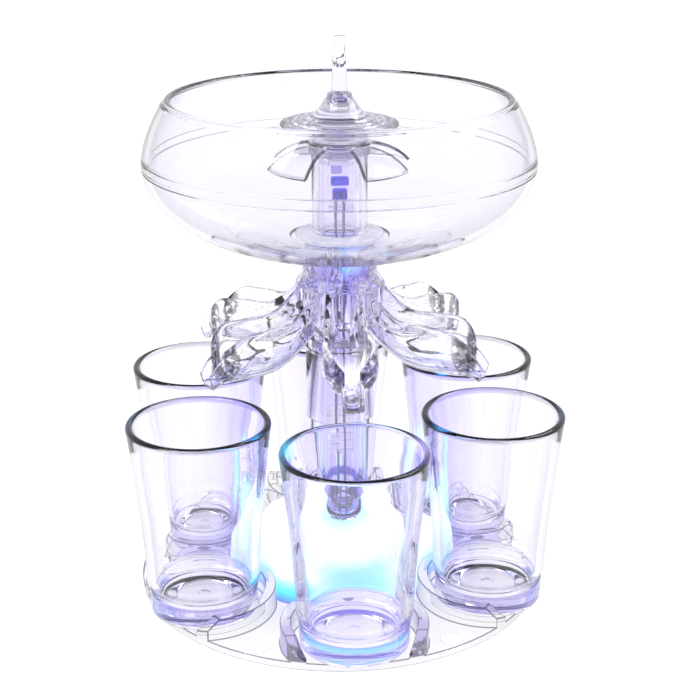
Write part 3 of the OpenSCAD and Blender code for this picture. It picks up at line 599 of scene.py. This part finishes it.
def dome_material():
    """Milky dome lit from inside. In front it is white above, cyan at its shoulder and paler
    below, with a cyan ring round its neck. Its front left lobe goes from white down to deep blue,
    and its sides and back are paler."""
    paint = Paint("lit_dome")
    share = paint.span(paint.height, 2.0, 26.0)
    deep = paint.ramp(share, [(0.06, (0.20, 0.18, 0.98)), (0.14, (0.10, 0.45, 1.0)),
                              (0.26, (0.12, 0.80, 1.0)), (0.38, (0.45, 0.94, 1.0)),
                              (0.47, WHITE)])
    pale = paint.ramp(share, [(0.0, (0.92, 0.90, 1.0)), (0.24, (0.88, 0.90, 1.0)),
                              (0.40, (0.30, 0.90, 1.0)), (0.57, (0.40, 0.93, 1.0)),
                              (0.65, WHITE), (0.76, WHITE), (0.86, (0.62, 0.97, 1.0)),
                              (0.95, (0.35, 0.88, 1.0)), (1.0, (0.25, 0.75, 1.0))])
    sides = paint.ramp(share, [(0.05, (0.40, 0.50, 1.0)), (0.25, (0.46, 0.82, 1.0)),
                               (0.48, (0.74, 0.90, 1.0)), (0.68, (0.84, 0.83, 0.98))])
    light = paint.mix(paint.near((-24, -27, 7), 24, 1.5), pale, deep)
    away = paint.but(paint.near((-6, -30, 9), 30, 3.0))
    light = paint.mix(paint.times(paint.span(paint.radius, 16.0, 26.0), away), light, sides)
    paint.base(paint.mix(0.72, light, (0.05, 0.06, 0.10)))
    paint.glow(light, 1.1)
    paint.set(roughness=0.25)
    return paint.material


def lamp_material():
    """Blue lamp: deep blue blocks, the top one violet, with a fine mottle and a low glow, and a
    navy wire in front."""
    paint = Paint("blue_lamp")
    blue = [(0.40, (0.05, 0.03, 0.9)), (0.62, (0.0, 0.0, 0.45))]
    paint.base(paint.ramp(paint.noise(900.0), blue))
    paint.tint(paint.at_height(136.6, 141, 0.3), (0.42, 0.34, 0.80))
    front = paint.band(paint.y, -1.7 * MM, -1.02 * MM, 0.02 * MM)
    paint.tint(paint.times(front, paint.at_height(126, 131.2, 0.1)), (0.0, 0.0, 0.30))
    paint.glow(paint.colour, 0.7)
    paint.set(roughness=0.3)
    return paint.material


m_glass = cup_material()
# Bowl: violet towards the lamps as painted lamp light, and three spots of painted shade on its left
# and right sides.
m_bowl = acrylic("bowl_acrylic", near=(0.84, 0.81, 0.94), far=(0.962, 0.952, 1.0), near_r=12,
                 far_r=28, edge=(0.10, 0.09, 0.13), edge_power=4.0, wave=0.03, wave_scale=24,
                 absorb=((0.62, 0.56, 0.86), 7.0),
                 bands=((114.5, 124.0, 0.6, (0.95, 0.935, 0.985)),),
                 spots=(((59.5, -5.3, 151), 11, (0.52, 0.48, 0.70)),
                        ((60.3, -5.3, 139), 7, (0.40, 0.36, 0.62)),
                        ((-60, 5.3, 143), 11, (0.74, 0.72, 0.80)))).material
m_column = column_material()
m_stopper = acrylic("stopper_acrylic", near=(0.965, 0.96, 1.0), far=(0.96, 0.95, 1.0), far_r=20,
                    edge=(0.14, 0.12, 0.22), edge_power=3.0, ior=1.40, wave=0.03, wave_scale=90,
                    absorb=((0.62, 0.6, 0.8), 10.0)).material
m_trough = trough_material()
m_hub = hub_material()
m_tray = tray_material()
m_tray_edge = tray_edge_material()
m_petal = petal_material()
m_disc = disc_material()
m_dome = dome_material()
m_lamp = lamp_material()
m_case = acrylic("case_acrylic", near=(0.95, 0.94, 1.0), far=(0.95, 0.94, 1.0), ior=1.15,
                 edge=(0.15, 0.12, 0.4), edge_power=3, wave=0.02, wave_scale=200).material


# ---- Camera, floor and light ----

def set_up_camera():
    """Camera at the photograph's place, turned and pitched towards the dispenser."""
    camera = new_object("camera", bpy.data.cameras.new("camera"))
    camera.location = Vector(CAMERA_AT) * MM
    ahead = math.cos(CAMERA_PITCH)
    look = Vector((math.sin(CAMERA_TURN) * ahead, math.cos(CAMERA_TURN) * ahead,
                   -math.sin(CAMERA_PITCH)))
    camera.rotation_mode = "QUATERNION"
    camera.rotation_quaternion = look.to_track_quat("-Z", "Y")
    camera.data.lens = CAMERA_LENS
    camera.data.sensor_width = 36
    camera.data.clip_start, camera.data.clip_end = 0.01, 50
    bpy.context.scene.camera = camera


def lay_floor():
    """A plain white floor that lights the clear parts from below."""
    half = 6.0
    mesh = bpy.data.meshes.new("floor")
    mesh.from_pydata([(-half, -half, 0), (half, -half, 0), (half, half, 0), (-half, half, 0)], [],
                     [(0, 1, 2, 3)])
    floor = new_object("floor", mesh)
    paint = Paint("pale_floor")
    paint.set(base_color=(0.15, 0.15, 0.155, 1), roughness=0.6, specular_ior_level=0.0)
    paint.glow(WHITE, 1.0)
    mesh.materials.append(paint.material)


def light_the_studio():
    """A white surround that is darker overhead, two soft lamps, and enough light bounces for
    clear parts behind one another."""
    scene = bpy.context.scene
    world = bpy.data.worlds.new("studio")
    scene.world = world
    world.use_nodes = True
    tree = world.node_tree
    back = tree.nodes["Background"]
    direction = add(tree, "ShaderNodeTexCoord").outputs["Generated"]
    up = add(tree, "ShaderNodeSeparateXYZ", vector=direction).outputs["Z"]
    sky = ramp(tree, up, [(0.0, WHITE), (0.48, WHITE), (0.75, (0.52, 0.52, 0.55)),
                          (1.0, (0.36, 0.36, 0.40))])
    tree.links.new(sky, back.inputs["Color"])
    back.inputs["Strength"].default_value = 1.0

    for name, at, power in (("lamp_left", (-0.5, -0.35, 0.75), 5.0),
                            ("lamp_right", (0.6, 0.1, 0.7), 4.0)):
        lamp = new_object(name, bpy.data.lights.new(name, "AREA"))
        lamp.data.energy = power
        lamp.data.size = 0.5
        lamp.location = at
        lamp.rotation_mode = "QUATERNION"
        lamp.rotation_quaternion = (Vector((0, 0, 0.09)) - Vector(at)).to_track_quat("-Z", "Y")

    scene.view_settings.view_transform = "Standard"
    scene.cycles.max_bounces = 40
    scene.cycles.transmission_bounces = 40
    scene.cycles.glossy_bounces = 8
    scene.cycles.transparent_max_bounces = 16


set_up_camera()
lay_floor()
light_the_studio()


# ---- Glasses ----

def glass_out(h):
    """Outer radius of a glass at height h above its foot: 17.9 + 4.6 u^1.5, with u from the
    moulded ring at 10.5 to the rim at 63.2."""
    u = np.clip((h - 10.5) / 52.7, 0, 1)
    return 17.9 + 4.6 * u ** 1.5


def mark_side_to_lamp(mesh, centre):
    """Stores on each point of a glass the cosine of its turn about the glass's own axis away from
    the direction to the dome, which is 1 on the strip of wall nearest the dome."""
    place = np.empty(len(mesh.vertices) * 3)
    mesh.vertices.foreach_get("co", place)
    out = place.reshape(-1, 3)[:, :2] / MM - centre
    reach = np.maximum(np.linalg.norm(out, axis=1), 1e-6)
    share = -(out @ centre) / reach / np.linalg.norm(centre)
    mesh.attributes.new("towards_lamp", "FLOAT", "POINT").data.foreach_set("value", share)


def make_glasses():
    """Each glass: a tapering wall on a thick foot, with a groove between foot and wall, a round
    rim, a stepped floor inside and a small gate mark in its middle."""
    h = np.linspace(11.2, 61.9, 34)
    wall_out = np.stack([glass_out(h), h], 1)
    hi = np.linspace(62.0, 11.5, 34)
    wall_in = np.stack([glass_out(hi) - 2.55 + 0.35 * np.clip((hi - 56) / 7, 0, 1), hi], 1)
    foot = soften([(0, 0.5), (13.9, 0.5), (13.5, 0), (16.2, 0), (16.9, 0.8), (17.1, 7.3),
                   (17.25, 8.2), (17.05, 9.0), (17.3, 10.3), (17.9, 11.2)], 0.5)
    a = np.radians(np.linspace(0, 180, 15))[1:-1]
    middle = (glass_out(62.0) * 2 - 2.2) / 2
    rim = np.stack([middle + 1.13 * np.cos(a), 62.0 + 1.15 * np.sin(a)], 1)
    floor = soften([(15.3, 11.5), (14.6, 8.0), (13.2, 6.2), (10.4, 5.5), (9.0, 5.05), (8.75, 4.7),
                    (3.0, 4.62), (2.2, 4.62), (1.9, 4.35), (0, 4.35)], 0.7)
    profile = np.concatenate([foot[:-1], wall_out, rim, wall_in, floor[1:]])
    profile[:, 1] += 2.5
    for k in range(6):
        centre = (GLASS_RING * math.sin(k * TURN), -GLASS_RING * math.cos(k * TURN))
        cup = solid_of_turn(f"cup_{k + 1}_body", f"cup_{k + 1}", m_glass, profile,
                            (f"glass_{k + 1}",), turns=128, centre=centre)
        mark_side_to_lamp(cup.data, np.array(centre))


make_glasses()


# ---- Light dome ----

def make_dome():
    """Dome shell of one thickness: a profile turned about the axis, whose radius is held back to the
    six scallops round the cradles by a smooth minimum, r = -k ln(e^(-p/k) + e^(-q/k)), with the
    blend as k. Along a direction at a turn f from the middle of a scallop, q is
    D cos f - sqrt(c^2 - D^2 sin^2 f), for a scallop of radius c round a point D out."""
    scallop_r, blend, out_of_reach = 22.95, 0.55, 60.0
    thick, side_r, neck_top = 1.7, 34.5, 22.38
    line = soften([(side_r, 2.55), (side_r, 11.8), (33.1, 13.7), (27.5, 15.4), (20, 17.2),
                   (14, 18.6), (10.4, 20.8), (8.2, neck_top)],
                  [0, 1.0, 2.0, 2.0, 2.0, 2.0, 1.5, 0], 7)
    lengths = np.linalg.norm(np.diff(line, axis=0), axis=1)
    along = np.concatenate([[0], np.cumsum(lengths)])
    even = np.linspace(0, along[-1], 70)
    line = np.stack([np.interp(even, along, line[:, 0]), np.interp(even, along, line[:, 1])], 1)
    a = whole_turn(360)
    off = (a + TURN / 2) % TURN - TURN / 2
    cut = GLASS_RING * np.sin(off)
    inside = np.abs(cut) < scallop_r
    held = GLASS_RING * np.cos(off) - np.sqrt(np.where(inside, scallop_r ** 2 - cut ** 2, 1))
    held = np.where(inside, held, out_of_reach)

    def shell(wall):
        p, q = (line[:, 0] - wall)[:, None], (held - wall)[None, :]
        r = -blend * np.logaddexp(-p / blend, -q / blend)
        roof = line[:, 0] < side_r - 0.5
        z = np.minimum(line[:, 1] - wall * roof, neck_top)[:, None] + 0 * r
        return np.stack([r * np.sin(a), -r * np.cos(a), z + FEET], -1)

    ring = np.concatenate([shell(0.0), shell(thick)[::-1]])
    make_piece("dome_shell", "base", m_dome, [(ring, True, True)], "lit_dome", ("light_dome",),
               sharp=50)


make_dome()


# ---- Bowl ----

BOWL_R, BOWL_RIM_R, BOWL_WALL = 60.8, 53.3, 2.1
BOWL_LOW, BOWL_MID, BOWL_TOP = 111.6, 141.0, 160.0


def bowl_low(angle, wall):
    """Lower half of the bowl as a superellipse of power 2.15, moved in by a wall."""
    power = 2 / 2.15
    return np.stack([(BOWL_R - wall) * np.cos(angle) ** power,
                     BOWL_MID - (BOWL_MID - BOWL_LOW - wall) * np.sin(angle) ** power], -1)


def bowl_high(s, wall):
    """Upper half: the radius shrinks with s^1.55 while s rises from the middle to the rim."""
    return np.stack([BOWL_R - wall - (BOWL_R - BOWL_RIM_R) * s ** 1.55,
                     BOWL_MID + (BOWL_TOP - BOWL_MID) * s], -1)


def make_bowl():
    """The bowl in one piece, its lapped joint shown by two grooves 0.2 mm deep round the widest
    place, with its spigot, its seat and two fine beads on its floor."""
    low_turn = np.concatenate([np.linspace(81.5, 4.2, 60), np.linspace(3.4, 1.3, 22), [0.6]])
    outside = bowl_low(np.radians(low_turn), 0)
    rise = np.concatenate([[0, 0.03], np.linspace(0.066, 0.092, 22), np.linspace(0.1, 0.93, 38)])
    up_out = bowl_high(rise, 0)
    shell = np.concatenate([outside, up_out])
    for line in (139.5, 142.5):
        shell[:, 0] -= 0.2 * np.exp(-((shell[:, 1] - line) / 0.15) ** 2)
    a = np.radians(np.linspace(0, 180, 13))[1:-1]
    rim = np.stack([BOWL_RIM_R - 1.05 + 1.05 * np.cos(a), BOWL_TOP - 1.05 + 1.05 * np.sin(a)], 1)
    inside = np.concatenate([bowl_high(np.linspace(0.93, 0.02, 40), BOWL_WALL),
                             bowl_low(np.radians(np.linspace(0, 73, 64)), BOWL_WALL)])
    for bead in (24.0, 34.0):
        near_floor = inside[:, 1] < 130
        inside[near_floor, 1] += 0.45 * np.exp(-((inside[near_floor, 0] - bead) / 0.55) ** 2)
    seat = soften([inside[-1], (15.9, bowl_low(np.radians(75.0), BOWL_WALL)[1]), (15.5, 113.7),
                   (8.2, 113.7), (8.2, 102.6), (9.4, 102.6), (9.4, 111.6), outside[0]], 0.25)
    profile = np.concatenate([shell, rim, inside[:-1], seat[:-1]])
    solid_of_turn("bowl_shell", "bowl", m_bowl, profile, ("bowl_lower", "bowl_upper"), turns=192)


make_bowl()


# ---- Column and stopper ----

def make_column():
    """Lower tube with its rounded bottom, the inner light post, the hub's sleeve and the turned
    collar on the dome's neck."""
    bottom = soften([(3.6, 25.0), (7.4, 25.0), (9.2, 27.2), (9.6, 30.5), (9.6, 79.6), (8.1, 79.6),
                     (8.1, 33.5), (6.65, 33.5), (6.65, 27.0), (3.6, 27.0)],
                    [0, 0.5, 1.6, 1.6, 0.3, 0.3, 1.2, 0.2, 0.2, 0], 6)
    solid_of_turn("lower_tube", "base", m_column, bottom, ("lower_column",))
    post = soften([(5.5, 27.0), (6.6, 27.0), (6.6, 140.3), (5.0, 141.5), (0, 141.5)],
                  [0, 0.2, 0.8, 0.8, 0], 6)
    post_in = soften([(0, 140.1), (4.6, 140.1), (5.5, 139.2), (5.5, 27.0)], 0.5, 6)
    grid = revolve(np.concatenate([post, post_in[:-1]]))
    make_piece("lamp_post", "base", m_column, [(grid, True, True)], "clear_acrylic",
               ("light_post",))
    sleeve = ring_profile([(9.9, 56.3), (11.0, 56.3), (11.0, 79.58), (9.9, 79.58)], 0.35)
    solid_of_turn("hub_sleeve_tube", "hub", m_column, sleeve, ("hub_sleeve",), "hub_acrylic")
    collar = ring_profile([(3.6, 22.42), (7.4, 22.42), (7.4, 23.6), (6.8, 23.9), (6.8, 25.0),
                           (3.6, 25.0)], 0.2)
    solid_of_turn("neck_collar", "base", m_column, collar, ("column_collar",))


make_column()


def brick(centre, size, power=0.25, rows=16, turns=40):
    """A block with rounded edges: the superellipsoid whose sines and cosines are raised to a
    small power and keep their signs."""
    def root(value):
        return np.sign(value) * np.abs(value) ** power

    up = np.radians(np.linspace(-90, 90, rows))[:, None]
    round_it = whole_turn(turns)[None, :]
    shape = np.stack([root(np.cos(up)) * root(np.cos(round_it)),
                      root(np.cos(up)) * root(np.sin(round_it)),
                      root(np.sin(up)) + 0 * round_it], -1)
    return np.array(centre) + shape * np.array(size) / 2


def bent_wire(points, radius, turns=10):
    """A round wire along a line of points in the plane y = constant: each ring stands square to
    the line there."""
    p = np.asarray(points, float)
    way = np.gradient(p, axis=0)
    way /= np.linalg.norm(way, axis=1)[:, None]
    side = np.stack([way[:, 2], 0 * way[:, 0], -way[:, 0]], 1)
    a = whole_turn(turns)[None, :, None]
    return p[:, None] + radius * (np.cos(a) * side[:, None] + np.sin(a) * np.array([0, 1, 0]))


def make_upper_lamp():
    """Blue lamp in the top of the post, in its clear case: a lens block with a bent wire in front
    of it, a blue block above and a small violet one on top."""
    a = np.radians(np.linspace(180, 360, 15))
    bend = np.stack([1.0 * np.cos(a), -1.35 + 0 * a, 128.6 + 1.0 * np.sin(a)], 1)
    wire = np.concatenate([[[-1.0, -1.35, 130.9]], bend, [[1.0, -1.35, 130.9]]])
    grids = [(brick((0, 0, 129.4), (4.6, 2.2, 5.0)), False, True),
             (brick((0, 0, 134.2), (5.6, 1.9, 2.7)), False, True),
             (brick((-1.0, 0, 138.0), (3.4, 1.4, 3.0)), False, True),
             (bent_wire(wire, 0.4), False, True)]
    make_piece("upper_lamp", "base", m_lamp, grids, "blue_lens", ("post_light",))
    case = brick((0, 0, 132.65), (7.5, 7.5, 14.8), 0.12, 40, 64)
    make_piece("lamp_case", "base", m_case, [(case, False, True)], "lens_case",
               ("post_light_case",))


make_upper_lamp()


def make_stopper():
    """Stopper tube with its spread foot, and the splash disc with its cone. The disc's upper side
    rises by 0.022 (18.4 - r)^2, with ripples on it that are a cosine of r."""
    tube = ring_profile([(7.1, 114.6), (13.9, 114.6), (14.3, 115.0), (14.0, 115.6), (10.3, 116.4),
                         (9.1, 117.4), (8.7, 119.0), (8.7, 144.6), (7.1, 144.6)], 0.4)
    solid_of_turn("stopper_sleeve", "stopper", m_stopper, tube, ("stopper_tube",))
    r = np.linspace(RIPPLE_R, 8.9, 80)
    wave = 1 - np.cos(2 * np.pi * (RIPPLE_R - r) / RIPPLE_STEP)
    ripples = np.stack([r, 152.0 + 0.022 * (18.4 - r) ** 2 + 0.28 * wave], 1)
    under = soften([(0, 145.62), (8.6, 145.62), (8.8, 146.2), (7.2, 147.0), (7.4, 147.6),
                    (9.4, 148.9), (10.5, 150.4), (16.0, 150.2), (17.9, 150.8), (18.4, 151.6),
                    (18.0, 152.1), tuple(ripples[0])], 0.6)
    cone = soften([tuple(ripples[-1]), (7.6, 155.0), (6.1, 156.7), (5.0, 158.4), (4.1, 159.8),
                   (3.7, 160.2), (3.9, 160.7), (3.4, 161.1), (2.6, 160.9), (2.1, 159.6),
                   (0, 159.6)], 0.6)
    disc = np.concatenate([under[:-1], ripples, cone[1:]])
    solid_of_turn("splash_disc", "stopper", m_disc, disc, ("ripple_disc",), turns=160)


make_stopper()


def make_petals():
    """Four thin petals that hang from a ring: a circular arc falls 6.5 mm while its radius grows
    by 14.4, is turned through 2 PETAL_HALF for each petal, and is 0.9 mm thick. The free corners
    are softened by drawing the sides in along the last tenth."""
    run, drop, thick = 14.4, 6.5, 0.9
    arc = (run ** 2 + drop ** 2) / (2 * drop)
    sweep = math.asin(run / arc)
    u = np.linspace(0, 1, 30)[:, None]
    v = np.linspace(-1, 1, 28)[None, :]
    half = PETAL_HALF * (1 - 0.05 * np.clip((u - 0.9) / 0.1, 0, None) ** 2)
    grids = []
    for k in range(4):
        turn = PETAL_TURN + math.radians(90 * k) + v * half
        layers = []
        for depth in (0.0, thick):
            r = 9.0 + (arc - depth) * np.sin(sweep * u)
            z = 146.0 - arc + (arc - depth) * np.cos(sweep * u) + 0 * v
            layers.append(np.stack([r * np.sin(turn), -r * np.cos(turn), z], -1))
        top, low = layers
        grids += [(top, False, False), (low, False, False)]
        for line, other in ((top[0], low[0]), (top[-1], low[-1]), (top[:, 0], low[:, 0]),
                            (top[:, -1], low[:, -1])):
            grids.append((np.stack([line, other]), False, False))
    collar = ring_profile([(8.7, 142.1), (9.6, 142.1), (9.6, 144.6), (9.3, 145.6), (4.6, 145.6),
                           (4.6, 144.6), (8.7, 144.6)], 0.15)
    grids.append((revolve(collar), True, True))
    make_piece("umbrella_petals", "stopper", m_petal, grids, "clear_acrylic", ("petal_cap",))


make_petals()


# ---- Hub and troughs ----

def trough_line(keel, top, half, bed_w, bed_h, side=15):
    """Right half of one surface of every section, as (x, z): a quarter round of width bed_w and
    height bed_h, then x = bed_w + (half - bed_w) tulip(v) while z rises with v^1.25 to the top.
    tulip(v) is 1 - (1 - v/0.62)^1.4, less a slight fall above v = 0.62."""
    q = np.radians(np.linspace(0, 90, 7))[:-1]
    v = np.linspace(0, 1, side)
    lip = np.clip((v - 0.62) / 0.38, 0, None)
    tulip = 1 - (1 - np.minimum(1, v / 0.62)) ** 1.4 - 0.04 * lip ** 2
    keel, top, half, bed_w, bed_h = (k[:, None] for k in (keel, top, half, bed_w, bed_h))
    x = np.concatenate([bed_w * np.sin(q) ** 0.7, bed_w + (half - bed_w) * tulip], 1)
    z = np.concatenate([keel + bed_h * (1 - np.cos(q)) ** 1.3,
                        keel + bed_h + (top - keel - bed_h) * v ** 1.25], 1)
    return np.stack([x, z], -1)


def trough_stations():
    """Values along a trough: radius, keel, top, half width, wall, floor, bed width and height,
    and lean. The rims sweep down from the hub, the end beyond radius 36 is rounded, and the last
    stations run out into the pouring lip."""
    t = 1 - (1 - np.linspace(0.002, 1, 52)) ** 1.6
    r = 11.6 + 33.4 * t
    keel = 76.5 + 9.6 * np.clip(1 - (r - 11.6) / 20, 0, None) ** 2.2
    end = np.clip((r - 36) / 9, 0, None)
    top = 92.3 + 8.4 * np.clip(1 - (r - 11.6) / 15, 0, None) ** 1.9 - 6.5 * end ** 2.5
    top = top + 0.2 * np.sin(4 * np.pi * t) + 0.22 * np.sin(15 * t + 0.7) * (1 - end)
    wide = 8.7 - 3.5 * (1 - t) ** 1.6 + 0.16 * np.sin(19 * t)
    half = 3.35 + (wide - 3.35) * np.sqrt(np.clip(1 - end ** 3, 0, None))
    wall = np.minimum(1.7 + 2.2 * end ** 2, half - 2.25)
    body = np.stack([r, keel, top, half, wall, 2.4 - 1.2 * end, 2.2 + 1.05 * t,
                     0.3 + 3 * t ** 6, 0 * t])
    s = np.linspace(0, 1, 12)
    one = 0 * s + 1
    nose = np.stack([45.3 + 3.1 * s, 76.5 - 1.05 * s, 84.7 - 5.1 * s, 3.35 * one, 1.1 * one,
                     1.2 * one, 3.25 * one, 3.3 - 2 * s, 0.3 * s])
    return np.concatenate([body, nose], 1)


def make_troughs():
    """Six open troughs. Each is a row of sections, outside up and over a round rim to the
    inside, closed at both ends."""
    r, keel, top, half, wall, floor, bed_w, bed_h, lean = trough_stations()
    outer = trough_line(keel, top, half, bed_w, bed_h)
    inner = trough_line(keel + floor, top, half - wall, np.minimum(bed_w, half) * 0.7, bed_h)
    a = np.radians(np.linspace(0, 180, 7))[1:-1]
    middle, reach = (outer[:, -1] + inner[:, -1]) / 2, (outer[:, -1] - inner[:, -1]) / 2
    rim = middle[:, None] + np.cos(a)[None, :, None] * reach[:, None]
    rim = rim + np.stack([0 * a, 0.6 * np.sin(a)], -1)[None]
    right = np.concatenate([outer, rim, inner[:, ::-1]], 1)
    left = right[:, ::-1][:, 1:-1] * [-1, 1]
    ring = np.concatenate([right, left], 1)
    y = -(r[:, None] + lean[:, None] * (ring[..., 1] - keel[:, None]))
    points = np.stack([ring[..., 0], y, ring[..., 1] + FEET], -1)
    count = ring.shape[1]
    half_way = right.shape[1] - 1
    out = np.arange(half_way // 2 + 1)
    pairs = [(out, half_way - out), ((-out) % count, (out - half_way) % count)]
    for number in range(6):
        c, sn = math.cos(number * TURN), math.sin(number * TURN)
        turned = points @ np.array([[c, sn, 0], [-sn, c, 0], [0, 0, 1]])
        ends = [(np.stack([turned[row][one], turned[row][two]]), False, False)
                for row in (0, -1) for one, two in pairs]
        make_piece(f"trough_{number + 1}", "hub", m_trough, [(turned, False, True), *ends],
                   "hub_acrylic", (f"spout_{number + 1}",), sharp=50)


make_troughs()


def make_hub_crystals():
    """Upright crystal ridges round the hub's neck, over the skirt. The radius is
    11.1 + 2.6 (1 - s)^1.7, plus two saw-toothed waves round the axis that lean with height, where
    s rises from the skirt's rim to the top. Between the troughs the ridges hang up to 9 mm below
    the skirt, as icicles of uneven length."""
    a = whole_turn(360)[None, :]
    s = np.linspace(-0.6, 1, 30)[:, None]
    tooth = np.abs((a * 17 / (2 * np.pi) + 0.9 * s) % 1 - 0.5) * 2
    fine = np.abs((a * 29 / (2 * np.pi) - 1.3 * s) % 1 - 0.5) * 2
    between = (0.5 - 0.5 * np.cos(6 * a)) ** 2
    length = 0.4 + 8.6 * between * (0.55 + 0.45 * np.abs(np.sin(23.5 * a + 0.6)))
    up, down = np.clip(s, 0, 1), np.clip(-s / 0.6, 0, 1)
    z = 101.5 + 8.8 * up - length * down
    grow = np.clip(1 - up / 0.61, 0, None) ** 1.7
    swell = np.sqrt(np.clip(1 - up ** 4, 0, 1)) * (1 - 0.75 * down ** 2)
    out = 11.1 + 2.6 * grow + (0.36 * tooth + 0.24 * fine) * swell
    inner = 10.95 + 2.5 * grow + 0 * a
    shell = [np.stack([q * np.sin(a), -q * np.cos(a), z + FEET], -1) for q in (out, inner)]
    ring = np.concatenate([shell[0], shell[1][::-1]])
    make_piece("hub_crystals", "hub", m_hub, [(ring, True, True)], "hub_acrylic", sharp=20)


make_hub_crystals()


# ---- CAD pieces that keep their shape ----

bevelled_copy("tray_body", "base_tray", m_tray, "clear_acrylic", 0.3, "base", m_tray_edge)
bevelled_copy("spire_rod", "spire", m_stopper, "clear_acrylic", 0.2, "stopper")
bevelled_copy("hub_body", "spout_hub", m_hub, "hub_acrylic", 0.3, "hub")

OWN_FINISH = {
    # Painted light: the feet glow white, so that no shade shows on them under the tray.
    "base_feet": plastic("white_feet_painted_glow", (0.96, 0.96, 0.98), (0.90, 0.90, 0.94), 0.4,
                         glow=(WHITE, 0.35)),
    "battery_box": plastic("box_white", (0.90, 0.92, 0.96), (0.80, 0.83, 0.90), 0.4),
    "battery_cells": plastic("cell_wrap", (0.55, 0.57, 0.62), (0.42, 0.44, 0.5), 0.3, 300),
    "battery_contacts": plastic("plated_spring", (0.82, 0.82, 0.80), (0.6, 0.6, 0.58), 0.25, 500,
                                metallic=1.0),
    "battery_cover": plastic("cover_white", (0.90, 0.91, 0.95), (0.82, 0.84, 0.90), 0.35),
    "cover_screws": plastic("screw_plated", (0.72, 0.72, 0.74), (0.5, 0.5, 0.52), 0.28, 700,
                            metallic=1.0),
    "led_board": plastic("board_green", (0.16, 0.42, 0.28), (0.10, 0.30, 0.20), 0.4, 400),
    "base_lights": plastic("lamp_lens", (0.9, 1.0, 1.0), (0.8, 0.97, 1.0), 0.2,
                           glow=((0.5, 0.9, 1.0), 3.0)),
    "switch_block": plastic("switch_black", (0.06, 0.06, 0.07), (0.03, 0.03, 0.035), 0.4),
    "switch_button": plastic("button_white", (0.88, 0.88, 0.92), (0.78, 0.78, 0.84), 0.3),
    "column_board": board_material(),
    "post_wires": plastic("tinned_wire", (0.86, 0.86, 0.92), (0.7, 0.7, 0.78), 0.3, 400),
    "post_seal": plastic("seal_ring", (0.86, 0.86, 0.95), (0.78, 0.78, 0.9), 0.4),
    "bowl_gasket": plastic("lit_gasket", (0.55, 0.82, 1.0), (0.42, 0.60, 1.0), 0.3, 200,
                           glow=((0.25, 0.70, 1.0), 0.25)),
    # Painted light: the seal glows white.
    "foot_seal": plastic("foot_gasket", (0.92, 0.92, 0.97), (0.84, 0.84, 0.92), 0.45,
                         glow=(WHITE, 0.3)),
}
for node, material in OWN_FINISH.items():
    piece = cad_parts[node]
    piece.data.materials.clear()
    piece.data.materials.append(material)
